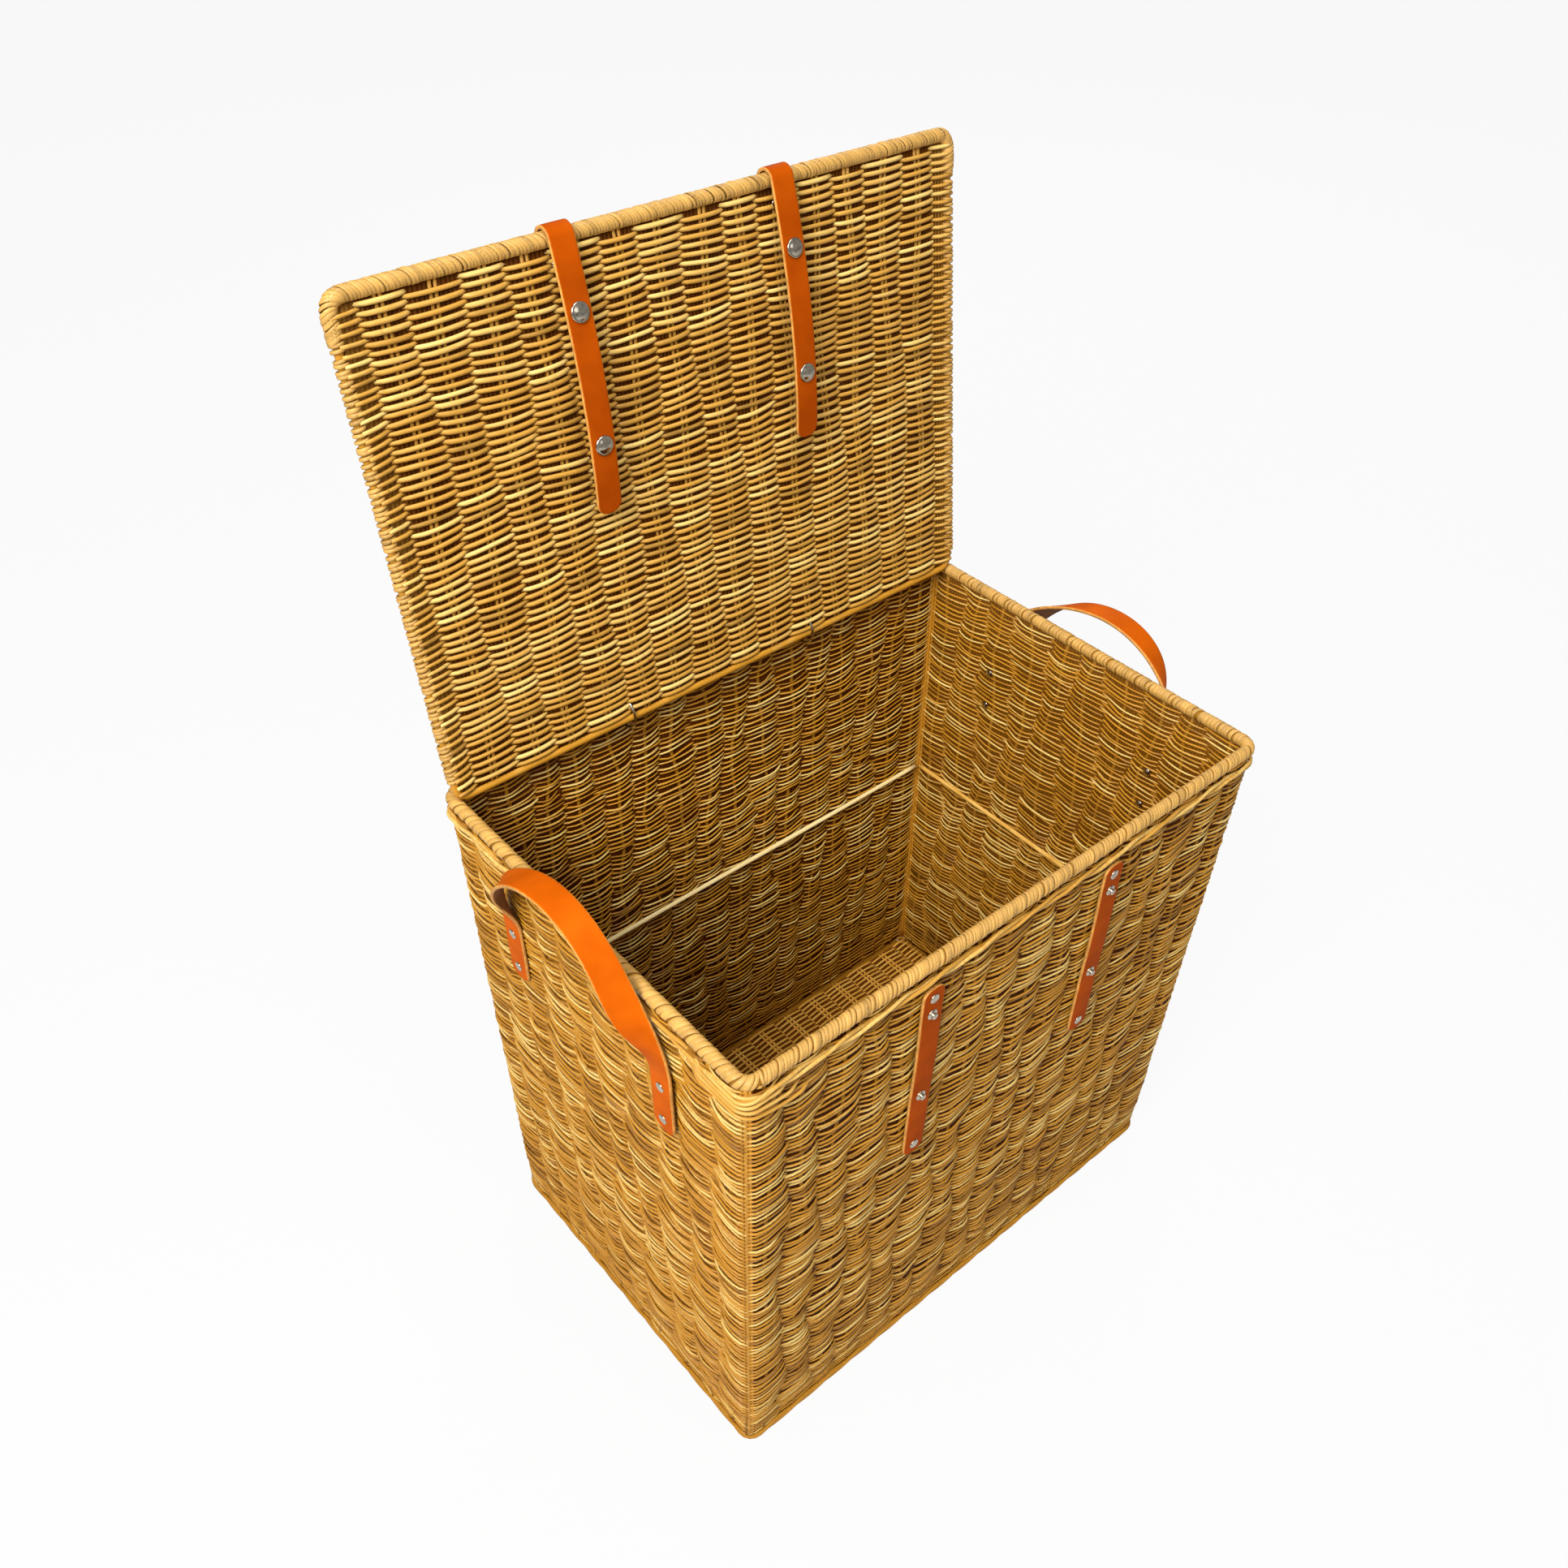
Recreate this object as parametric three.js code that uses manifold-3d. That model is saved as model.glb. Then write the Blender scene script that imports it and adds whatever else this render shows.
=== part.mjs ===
// A woven rattan storage trunk: tapered walls on a woven base, a lashed mouth rim, a lid on two
// wire rings, leather closing straps with snap fasteners, and a leather handle on each short side.
// Millimetres, +Z up. The origin is the middle of the underside, and the front faces -Y.

import * as THREE from 'three';
import { mergeVertices } from 'three/addons/utils/BufferGeometryUtils.js';
import Module from 'manifold-3d';

const wasm = await Module();
wasm.setup();

// Body
const MOUTH_WIDTH = 500; // rim centreline, left to right
const MOUTH_DEPTH = 341; // rim centreline, front to back
const RIM_HEIGHT = 478; // rim centreline above the floor
const FOOT_NARROWER = 9; // outside of the foot rod, against the rim centreline, left to right
const FOOT_SHALLOWER = 10; // the same, front to back
const WALL_THICKNESS = 8; // over the swells of the weave
const WALL_RELIEF = 2.6; // from the crest over a stake down to the valley between stakes
const WALL_SWAY = 0.8; // how much lower every other crest is, as the rows cross over
const LONG_STAKE_PITCH = 32; // front and back walls
const SHORT_STAKE_PITCH = 35; // left and right walls
const WALL_BAND = 92; // height in which the crests change over
const BASE_THICKNESS = 7;
const BASE_STAKE_PITCH = 34;
const BASE_RELIEF = 2;
const BASE_BAND = 80;
const RIM_CORE_RADIUS = 4;
const RIM_WRAP_THICKNESS = 1.8;
const RIM_CORNER_RADIUS = 14; // centreline
const FOOT_ROD_RADIUS = 4;
const FOOT_CORNER_RADIUS = 10; // centreline
const RAIL_RADIUS = 2.25;
const RAIL_HEIGHT = 254;

// Lid
const LID_OVERREACH = 15; // rear rod to front rim, against the depth of the mouth, centrelines
const LID_REAR_NARROWER = 2; // side rods against the width of the mouth, centrelines
const LID_FRONT_WIDER = 7;
const LID_LEAN = 7.8; // degrees past upright, as it stands open
const LID_THICKNESS = 8;
const LID_RELIEF = 2.4;
const LID_SWAY = 0.8;
const LID_STAKE_PITCH = 33;
const LID_BAND = 58;
const LID_ROD_RADIUS = 3;
const LID_CORNER_RADIUS = 15;
const LID_REST_GAP = 0.7; // between the two rims when the lid is shut
const LID_BACK_CLEARANCE = 3.4; // between the open lid and the back rim
const LID_PIVOT_SETBACK = 8.5; // rear rod to the line where the rings pass through the lid
const LID_WRAP_RETURN = 19; // how far the front lashing turns down each side

// Hinge rings
const RING_WIRE_RADIUS = 1;
const RING_CLEARANCE = 0.5;
const RING_CENTRE_SHARE = 0.64; // along the line from the pivot to the back rim
const RING_SLOT_CLEARANCE = 1.2;

// Leather
const STRAP_WIDTH = 20;
const STRAP_THICKNESS = 2.5;
const TIP_LENGTH = 7; // of a strap's rounded end
const STRAP_PLACES = { left: -96, right: 85 }; // along the front
const SNAP_DROP = 57; // lid rim to the first snap, when the strap hangs down the front
const SNAP_PITCH = 88;
const TONGUE_BELOW_SNAP = 52; // lower snap to the strap's tip
const TONGUE_LEAVE_ANGLE = 80; // degrees round the lid rim where the strap leaves it
const TONGUE_SWELL = 48; // how long the strap keeps the direction in which it leaves the rim
const TONGUE_TIP_OFFSET = 15; // tip to the middle of the lid's weave
const ANCHOR_RIVET_DROP = 15; // lid rim to the pair of rivets that hold the strap
const ANCHOR_RIVET_SPREAD = 9;
const ANCHOR_TAIL = 10; // rivets to the strap's end
const TAB_TOP_RIVET_RISE = 16; // above the upper snap
const TAB_BOTTOM_RIVET_DROP = 58; // below the lower snap
const TAB_TAIL = 10; // rivet to the tab's end
const HANDLE_SPAN = 178; // between the two riveted ends
const HANDLE_WIDTH = 22.5;
const HANDLE_FLEX_DROP = 68; // rim to the line where the arch leaves the wall
const HANDLE_RISES = { left: 114, right: 94 };
const HANDLE_SLUMP = 12; // how far the arch leans to the front
const HANDLE_TWIST_RISE = 92; // height in which the strap makes its quarter turn
const HANDLE_RIM_CLEARANCE = 3.5;
const HANDLE_UPPER_RIVET_DROP = 7.5; // below the flex line
const HANDLE_RIVET_PITCH = 35;
const HANDLE_TAIL = 12; // lower rivet to the end
const FLEX_GAP = 0.4; // cut between the still and the moving part of one strap

// Metal fasteners
const RIVET_HEAD_RADIUS = 4;
const RIVET_HEAD_HEIGHT = 1.6;
const RIVET_SHANK_RADIUS = 1.6;
const ANCHOR_HEAD_RADIUS = 3.2;
const WASHER_HEIGHT = 1;
const STUD_BASE_RADIUS = 4.4;
const STUD_NUB_RADIUS = 2.6;
const STUD_NUB_HEIGHT = 3.4;
const CAP_RADIUS = 7;
const CAP_HEIGHT = 3.2;
const SOCKET_RADIUS = 5;
const SOCKET_HEIGHT = 3.6;
const SOCKET_WALL = 1.8;
const HOLE_CLEARANCE = 0.3;

// Fits and facets
const SEAT = 0.3; // between pieces that rest on each other
const ROD_JOINT = 0.6; // gap where a bent rod's ends meet
const ROD_SIDES = 8;
const CORNER_STEPS = 4;
const FASTENER_SIDES = 10;
const TIP_STEPS = 4;
const TIP_START_TURN = 0.45; // radians round the tip where its blunt end starts
const ARCH_STEPS = 34;
const TONGUE_STEPS = 14;
const BEND_STEPS = 9;
const RING_STEPS = 24;
const WIRE_SIDES = 6;

// Sizes that follow
const FOOT_WIDTH = MOUTH_WIDTH - FOOT_NARROWER;
const FOOT_DEPTH = MOUTH_DEPTH - FOOT_SHALLOWER;
const LID_DEPTH = MOUTH_DEPTH + LID_OVERREACH;
const LID_REAR_WIDTH = MOUTH_WIDTH - LID_REAR_NARROWER;
const LID_FRONT_WIDTH = MOUTH_WIDTH + LID_FRONT_WIDER;
const RIM_RADIUS = RIM_CORE_RADIUS + SEAT + RIM_WRAP_THICKNESS;
const HALF_WALL = WALL_THICKNESS / 2;
const POST_RADIUS = WALL_THICKNESS;
const HALF_LID = LID_THICKNESS / 2;
const WALL_BOTTOM = 2 * FOOT_ROD_RADIUS + SEAT;
const PIVOT = new THREE.Vector3(
  0,
  MOUTH_DEPTH / 2 - RIM_RADIUS - HALF_LID - LID_BACK_CLEARANCE,
  RIM_HEIGHT + 2 * RIM_RADIUS + LID_REST_GAP,
);
const LID_FRONT = LID_DEPTH - LID_PIVOT_SETBACK; // pivot line to the front rim
const STRAP_INNER_RADIUS = RIM_RADIUS + SEAT;
const STRAP_MIDDLE_RADIUS = STRAP_INNER_RADIUS + STRAP_THICKNESS / 2;
const LEATHER_ON_WALL = HALF_WALL + SEAT + STRAP_THICKNESS / 2; // middle of a strap lying on a wall
const HANDLE_FLEX_HEIGHT = RIM_HEIGHT - HANDLE_FLEX_DROP; // measured up the wall

const rattan = new THREE.MeshStandardMaterial({ color: 0xc8964a, roughness: 0.6, metalness: 0 });
const cane = new THREE.MeshStandardMaterial({ color: 0xd8ae66, roughness: 0.5, metalness: 0 });
const leather = new THREE.MeshStandardMaterial({ color: 0xd9660f, roughness: 0.55, metalness: 0 });
const nickel = new THREE.MeshStandardMaterial({ color: 0xc9c6bd, roughness: 0.25, metalness: 1 });

const trunk = new THREE.Group();

function add(parent, name, geometry, material) {
  const mesh = new THREE.Mesh(geometry, material);
  mesh.name = name;
  parent.add(mesh);
  return mesh;
}

// A closed mesh from corner points and triangles, turned so that its faces point out.
function closedMesh(points, triangles) {
  let volume = 0;
  for (const [a, b, c] of triangles) {
    volume += points[a].dot(new THREE.Vector3().crossVectors(points[b], points[c]));
  }
  const index = volume > 0 ? triangles.flat() : triangles.map(([a, b, c]) => [a, c, b]).flat();
  const geometry = new THREE.BufferGeometry();
  geometry.setAttribute('position', new THREE.Float32BufferAttribute(points.flatMap((p) => p.toArray()), 3));
  geometry.setIndex(index);
  geometry.computeVertexNormals();
  return geometry;
}

function solid(geometry) {
  const bare = geometry.clone();
  bare.deleteAttribute('normal');
  bare.deleteAttribute('uv');
  const merged = mergeVertices(bare, 1e-4);
  return new wasm.Manifold(new wasm.Mesh({
    numProp: 3,
    vertProperties: new Float32Array(merged.attributes.position.array),
    triVerts: new Uint32Array(merged.index.array),
  }));
}

// The piece left after each cutter is taken away from it.
function cut(geometry, cutters) {
  let rest = solid(geometry);
  for (const cutter of cutters) {
    rest = rest.subtract(solid(cutter));
  }
  const { vertProperties, triVerts } = rest.getMesh();
  const left = new THREE.BufferGeometry();
  left.setAttribute('position', new THREE.Float32BufferAttribute(vertProperties, 3));
  left.setIndex(new THREE.Uint32BufferAttribute(triVerts, 1));
  left.computeVertexNormals();
  return left;
}

function box(low, high) {
  const size = new THREE.Vector3().subVectors(high, low);
  const middle = new THREE.Vector3().addVectors(low, high).multiplyScalar(0.5);
  return new THREE.BoxGeometry(size.x, size.y, size.z).translate(middle.x, middle.y, middle.z);
}

// A drill along the local Z axis.
function drill(x, y, radius, reach) {
  const bit = new THREE.CylinderGeometry(radius, radius, 2 * reach, FASTENER_SIDES);
  return bit.rotateX(Math.PI / 2).translate(x, y, 0);
}

// The corner points of a bent rod, with each inner corner rounded to the radius.
function filleted(corners, radius) {
  const path = [corners[0]];
  for (let i = 1; i < corners.length - 1; i++) {
    const back = corners[i - 1].clone().sub(corners[i]).normalize();
    const on = corners[i + 1].clone().sub(corners[i]).normalize();
    const half = back.angleTo(on) / 2;
    const centre = back.clone().add(on).normalize().multiplyScalar(radius / Math.sin(half)).add(corners[i]);
    const from = corners[i].clone().addScaledVector(back, radius / Math.tan(half)).sub(centre);
    const to = corners[i].clone().addScaledVector(on, radius / Math.tan(half)).sub(centre);
    const sweep = from.angleTo(to);
    for (let k = 0; k <= CORNER_STEPS; k++) {
      const share = k / CORNER_STEPS;
      const point = from.clone().multiplyScalar(Math.sin((1 - share) * sweep) / Math.sin(sweep));
      path.push(point.addScaledVector(to, Math.sin(share * sweep) / Math.sin(sweep)).add(centre));
    }
  }
  path.push(corners[corners.length - 1]);
  return path;
}

// A rounded rectangle in the XY plane that starts and ends at a joint in the middle of its back.
function rodLoop(halfWidth, halfDepth, radius) {
  const corner = (x, y) => new THREE.Vector3(x, y, 0);
  return filleted([
    corner(-ROD_JOINT / 2, halfDepth),
    corner(-halfWidth, halfDepth),
    corner(-halfWidth, -halfDepth),
    corner(halfWidth, -halfDepth),
    corner(halfWidth, halfDepth),
    corner(ROD_JOINT / 2, halfDepth),
  ], radius);
}

// A round rod along a path in the XY plane, or a sleeve where it has a bore.
function rod(path, radius, bore = 0) {
  const radii = bore > 0 ? [radius, bore] : [radius];
  const points = [];
  path.forEach((place, i) => {
    const before = path[Math.max(i - 1, 0)];
    const after = path[Math.min(i + 1, path.length - 1)];
    const along = new THREE.Vector3().subVectors(after, before).normalize();
    const across = new THREE.Vector3(-along.y, along.x, 0);
    for (const r of radii) {
      for (let k = 0; k < ROD_SIDES; k++) {
        const turn = (2 * Math.PI * k) / ROD_SIDES;
        const point = place.clone().addScaledVector(across, r * Math.cos(turn));
        points.push(point.setZ(place.z + r * Math.sin(turn)));
      }
    }
  });
  const ring = radii.length * ROD_SIDES;
  const last = (path.length - 1) * ring;
  const triangles = [];
  const quad = (a, b, c, d) => triangles.push([a, b, c], [a, c, d]);
  for (let k = 0; k < ROD_SIDES; k++) {
    const next = (k + 1) % ROD_SIDES;
    for (let i = 0; i < last; i += ring) {
      quad(i + k, i + next, i + ring + next, i + ring + k);
      if (bore > 0) {
        quad(i + ROD_SIDES + next, i + ROD_SIDES + k, i + ring + ROD_SIDES + k, i + ring + ROD_SIDES + next);
      }
    }
    if (bore > 0) {
      quad(next, k, ROD_SIDES + k, ROD_SIDES + next);
      quad(last + k, last + next, last + ROD_SIDES + next, last + ROD_SIDES + k);
    } else if (k > 0 && k < ROD_SIDES - 1) {
      triangles.push([0, k + 1, k], [last, last + k, last + k + 1]);
    }
  }
  return closedMesh(points, triangles);
}

// A woven sheet in the XY plane. It swells on both faces over each stake, further to one face and then
// to the other from cell to cell, and is thin between stakes, where the strands cross over. The back
// may be flat, where the sheet lies on the floor.
function wovenSheet(sheet) {
  const { bottom, top, halfBottom, halfTop, thickness, relief, sway, pitch, band, flatBack = false } = sheet;
  const stakes = Math.max(2, Math.round((2 * halfTop) / pitch));
  const columns = 2 * stakes; // a crest over a stake at each odd line, a valley at each even one
  const rows = Math.max(2, Math.round((top - bottom) / band));
  const face = thickness / 2;
  const points = [];
  for (let j = 0; j <= rows; j++) {
    const half = THREE.MathUtils.lerp(halfBottom, halfTop, j / rows);
    for (let i = 0; i <= columns; i++) {
      const valley = i % 2 === 0;
      const outward = ((i - 1) / 2 + j) % 2 === 0;
      const x = half * ((2 * i) / columns - 1);
      const y = THREE.MathUtils.lerp(bottom, top, j / rows);
      const over = face - (valley ? relief : outward ? 0 : sway);
      const under = face - (valley ? relief : outward ? sway : 0);
      points.push(new THREE.Vector3(x, y, over), new THREE.Vector3(x, y, flatBack ? -face : -under));
    }
  }
  const front = (i, j) => 2 * (j * (columns + 1) + i);
  const triangles = [];
  const quad = (a, b, c, d) => triangles.push([a, b, c], [a, c, d]);
  for (let j = 0; j < rows; j++) {
    for (let i = 0; i < columns; i++) {
      const [a, b, c, d] = [front(i, j), front(i + 1, j), front(i + 1, j + 1), front(i, j + 1)];
      quad(a, b, c, d);
      quad(b + 1, a + 1, d + 1, c + 1);
    }
  }
  for (let i = 0; i < columns; i++) {
    quad(front(i + 1, 0), front(i, 0), front(i, 0) + 1, front(i + 1, 0) + 1);
    quad(front(i, rows), front(i + 1, rows), front(i + 1, rows) + 1, front(i, rows) + 1);
  }
  for (let j = 0; j < rows; j++) {
    quad(front(0, j), front(0, j + 1), front(0, j + 1) + 1, front(0, j) + 1);
    quad(front(columns, j + 1), front(columns, j), front(columns, j) + 1, front(columns, j + 1) + 1);
  }
  return closedMesh(points, triangles);
}

// A flat strap swept through stations, each with its middle, its direction across and its face normal.
function strap(stations) {
  const points = [];
  for (const { middle, across, normal, half = STRAP_WIDTH / 2 } of stations) {
    for (const [side, face] of [[-1, -1], [1, -1], [1, 1], [-1, 1]]) {
      const point = middle.clone().addScaledVector(across, side * half);
      points.push(point.addScaledVector(normal, (face * STRAP_THICKNESS) / 2));
    }
  }
  const last = 4 * (stations.length - 1);
  const triangles = [[0, 1, 2], [0, 2, 3], [last, last + 2, last + 1], [last, last + 3, last + 2]];
  for (let i = 0; i < last; i += 4) {
    for (let k = 0; k < 4; k++) {
      const next = (k + 1) % 4;
      triangles.push([i + k, i + 4 + next, i + next], [i + k, i + 4 + k, i + 4 + next]);
    }
  }
  return closedMesh(points, triangles);
}

// How wide a strap is at each distance from its rounded end, as [distance, half width] pairs.
function roundedEnd(width = STRAP_WIDTH) {
  const half = width / 2;
  return Array.from({ length: TIP_STEPS }, (_, k) => {
    const turn = THREE.MathUtils.lerp(TIP_START_TURN, Math.PI / 2, k / (TIP_STEPS - 1));
    const along = (Math.cos(TIP_START_TURN) - Math.cos(turn)) * TIP_LENGTH;
    return [along, half * Math.sin(turn)];
  });
}

// A straight strap along Y at one height, with a rounded end at the bottom, and at the top if asked.
function flatStrap(x, bottom, top, height, bothEnds, width = STRAP_WIDTH) {
  const station = (y, half) => ({
    middle: new THREE.Vector3(x, y, height),
    across: new THREE.Vector3(1, 0, 0),
    normal: new THREE.Vector3(0, 0, 1),
    half,
  });
  const low = roundedEnd(width).map(([along, half]) => station(bottom + along, half));
  const high = roundedEnd(width).map(([along, half]) => station(top - along, half)).reverse();
  return strap([...low, ...(bothEnds ? high : [station(top, width / 2)])]);
}

// A round fastener about the Z axis, from its profile of [radius, height] points, top to bottom.
function turned(profile) {
  const outline = profile.map(([radius, height]) => new THREE.Vector2(radius, height)).reverse();
  return new THREE.LatheGeometry(outline, FASTENER_SIDES).rotateX(Math.PI / 2);
}

// A rivet through a strap and the weave under it: domed head, shank and washer.
function rivet(top, bottom, headRadius = RIVET_HEAD_RADIUS) {
  const head = top + SEAT;
  const washer = bottom - SEAT;
  return turned([
    [0, head + RIVET_HEAD_HEIGHT],
    [headRadius * 0.6, head + RIVET_HEAD_HEIGHT * 0.85],
    [headRadius, head],
    [RIVET_SHANK_RADIUS, head],
    [RIVET_SHANK_RADIUS, washer],
    [headRadius, washer],
    [headRadius, washer - WASHER_HEIGHT],
    [0, washer - WASHER_HEIGHT],
  ]);
}

// The male half of a snap fastener, with the shank that holds it in the weave.
function snapStud(top, bottom) {
  const seat = top + SEAT;
  const washer = bottom - SEAT;
  return turned([
    [0, seat + STUD_NUB_HEIGHT],
    [STUD_NUB_RADIUS * 0.8, seat + STUD_NUB_HEIGHT],
    [STUD_NUB_RADIUS, seat + STUD_NUB_HEIGHT * 0.75],
    [STUD_NUB_RADIUS * 0.85, seat + WASHER_HEIGHT],
    [STUD_BASE_RADIUS, seat + WASHER_HEIGHT],
    [STUD_BASE_RADIUS, seat],
    [RIVET_SHANK_RADIUS, seat],
    [RIVET_SHANK_RADIUS, washer],
    [STUD_BASE_RADIUS, washer],
    [STUD_BASE_RADIUS, washer - WASHER_HEIGHT],
    [0, washer - WASHER_HEIGHT],
  ]);
}

// The female half: a domed cap on the strap's face and a hollow socket on its back.
function snapCap() {
  const face = STRAP_THICKNESS / 2 + SEAT;
  return turned([
    [0, face + CAP_HEIGHT],
    [CAP_RADIUS * 0.55, face + CAP_HEIGHT * 0.86],
    [CAP_RADIUS * 0.9, face + CAP_HEIGHT * 0.45],
    [CAP_RADIUS, face],
    [RIVET_SHANK_RADIUS, face],
    [RIVET_SHANK_RADIUS, -face],
    [SOCKET_RADIUS, -face],
    [SOCKET_RADIUS, -face - SOCKET_HEIGHT],
    [SOCKET_RADIUS - SOCKET_WALL, -face - SOCKET_HEIGHT],
    [SOCKET_RADIUS - SOCKET_WALL, -face - WASHER_HEIGHT],
    [0, -face - WASHER_HEIGHT],
  ]);
}

// Walls
// Each wall has a group of its own: X along the wall, Y up its slope from the floor, Z outwards.
// The rim's centreline runs along the wall's middle plane.

const FOOT_MIDDLE = { x: FOOT_WIDTH / 2 - HALF_WALL, y: FOOT_DEPTH / 2 - HALF_WALL };
const RIM_MIDDLE = { x: MOUTH_WIDTH / 2, y: MOUTH_DEPTH / 2 };
const wallMiddle = (axis, z) => THREE.MathUtils.lerp(FOOT_MIDDLE[axis], RIM_MIDDLE[axis], z / RIM_HEIGHT);

function wallGroup(axis, sign) {
  const slope = Math.atan2(RIM_MIDDLE[axis] - FOOT_MIDDLE[axis], RIM_HEIGHT);
  const level = axis === 'x' ? new THREE.Vector3(sign, 0, 0) : new THREE.Vector3(0, sign, 0);
  const up = level.clone().multiplyScalar(Math.sin(slope)).setZ(Math.cos(slope));
  const out = level.clone().multiplyScalar(Math.cos(slope)).setZ(-Math.sin(slope));
  const along = new THREE.Vector3().crossVectors(up, out);
  const group = new THREE.Group();
  group.quaternion.setFromRotationMatrix(new THREE.Matrix4().makeBasis(along, up, out));
  group.position.copy(level).multiplyScalar(FOOT_MIDDLE[axis]);
  trunk.add(group);
  return { group, axis, stretch: 1 / Math.cos(slope) };
}

function wallSheet({ axis, stretch }) {
  const other = axis === 'x' ? 'y' : 'x';
  const topHeight = RIM_HEIGHT - RIM_RADIUS - SEAT;
  const halfAt = (z) => wallMiddle(other, z) - HALF_WALL - POST_RADIUS - SEAT;
  return wovenSheet({
    bottom: (WALL_BOTTOM + SEAT) * stretch,
    top: RIM_HEIGHT * stretch - RIM_RADIUS - SEAT,
    halfBottom: halfAt(WALL_BOTTOM),
    halfTop: halfAt(topHeight),
    thickness: WALL_THICKNESS,
    relief: WALL_RELIEF,
    sway: WALL_SWAY,
    pitch: axis === 'x' ? SHORT_STAKE_PITCH : LONG_STAKE_PITCH,
    band: WALL_BAND,
  });
}

const wallDrill = ([x, y]) => drill(x, y, RIVET_SHANK_RADIUS + HOLE_CLEARANCE, 4 * WALL_THICKNESS);
const onWallTop = LEATHER_ON_WALL + STRAP_THICKNESS / 2;

// Foot and base
const footHalf = { x: FOOT_WIDTH / 2 - FOOT_ROD_RADIUS, y: FOOT_DEPTH / 2 - FOOT_ROD_RADIUS };
const footPath = rodLoop(footHalf.x, footHalf.y, FOOT_CORNER_RADIUS);
const foot = new THREE.Group();
foot.position.z = FOOT_ROD_RADIUS;
trunk.add(foot);
add(foot, 'foot_rod', rod(footPath, FOOT_ROD_RADIUS), rattan);

const baseInset = FOOT_ROD_RADIUS + 2 * SEAT;
const baseSheet = wovenSheet({
  bottom: baseInset - footHalf.y,
  top: footHalf.y - baseInset,
  halfBottom: footHalf.x - baseInset,
  halfTop: footHalf.x - baseInset,
  thickness: BASE_THICKNESS,
  relief: BASE_RELIEF,
  sway: WALL_SWAY,
  pitch: BASE_STAKE_PITCH,
  band: BASE_BAND,
  flatBack: true,
});
const baseLift = BASE_THICKNESS / 2;
const footCutter = rod(footPath, FOOT_ROD_RADIUS + SEAT).translate(0, 0, FOOT_ROD_RADIUS - baseLift);
add(trunk, 'base_weave', cut(baseSheet, [footCutter]), rattan).position.z = baseLift;

// Front wall with the two tabs
const front = wallGroup('y', -1);
const upperSnap = (PIVOT.z - SNAP_DROP) * front.stretch;
const lowerSnap = upperSnap - SNAP_PITCH;
const tabTopRivet = upperSnap + TAB_TOP_RIVET_RISE;
const tabBottomRivet = lowerSnap - TAB_BOTTOM_RIVET_DROP;
const tabFasteners = [
  ['top_rivet', tabTopRivet, rivet],
  ['upper_stud', upperSnap, snapStud],
  ['lower_stud', lowerSnap, snapStud],
  ['bottom_rivet', tabBottomRivet, rivet],
];
const tabHoles = Object.values(STRAP_PLACES).flatMap((x) => tabFasteners.map(([, y]) => wallDrill([x, y])));
add(front.group, 'front_wall', cut(wallSheet(front), tabHoles), rattan);

for (const [side, x] of Object.entries(STRAP_PLACES)) {
  const tab = flatStrap(x, tabBottomRivet - TAB_TAIL, tabTopRivet + TAB_TAIL, LEATHER_ON_WALL, true);
  add(front.group, `tab_${side}`, cut(tab, tabFasteners.map(([, y]) => wallDrill([x, y]))), leather);
  for (const [name, y, make] of tabFasteners) {
    add(front.group, `tab_${side}_${name}`, make(onWallTop, -HALF_WALL), nickel).position.set(x, y, 0);
  }
}

// Back wall, notched where the hinge rings pass under the rim
const toRim = new THREE.Vector2(RIM_MIDDLE.y - PIVOT.y, RIM_HEIGHT - PIVOT.z);
const ringCentre = toRim.clone().multiplyScalar(RING_CENTRE_SHARE);
const openTurn = THREE.MathUtils.degToRad(90 - LID_LEAN);
const rearRodOpen = new THREE.Vector2(-LID_PIVOT_SETBACK, 0).rotateAround(new THREE.Vector2(), openTurn);
const rearRodShut = new THREE.Vector2(LID_PIVOT_SETBACK, 0);
const ringBore = RING_CLEARANCE + Math.max(
  ringCentre.distanceTo(toRim) + RIM_RADIUS,
  ringCentre.distanceTo(rearRodOpen) + LID_ROD_RADIUS,
  ringCentre.distanceTo(rearRodShut) + LID_ROD_RADIUS,
);
const ringRadius = ringBore + RING_WIRE_RADIUS;
const ringHeight = PIVOT.z + ringCentre.y;
const ringSlotHalf = RING_WIRE_RADIUS + RING_SLOT_CLEARANCE;

const back = wallGroup('y', 1);
const wallTop = RIM_HEIGHT * back.stretch;
const ringBottom = ringHeight - ringRadius - RING_WIRE_RADIUS - RING_SLOT_CLEARANCE;
const backNotches = Object.values(STRAP_PLACES).map((x) => box(
  new THREE.Vector3(-x - ringSlotHalf, ringBottom, -WALL_THICKNESS),
  new THREE.Vector3(-x + ringSlotHalf, wallTop, WALL_THICKNESS),
));
add(back.group, 'back_wall', cut(wallSheet(back), backNotches), rattan);

for (const [side, x] of Object.entries(STRAP_PLACES)) {
  const ring = new THREE.TorusGeometry(ringRadius, RING_WIRE_RADIUS, WIRE_SIDES, RING_STEPS);
  const mesh = add(trunk, `hinge_ring_${side}`, ring, nickel);
  mesh.rotation.y = Math.PI / 2;
  mesh.position.set(x, PIVOT.y + ringCentre.x, ringHeight);
}

// Short sides, each with a leather handle
const archMiddle = RIM_RADIUS + HANDLE_RIM_CLEARANCE + HANDLE_WIDTH / 2; // out from the wall's middle

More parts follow.
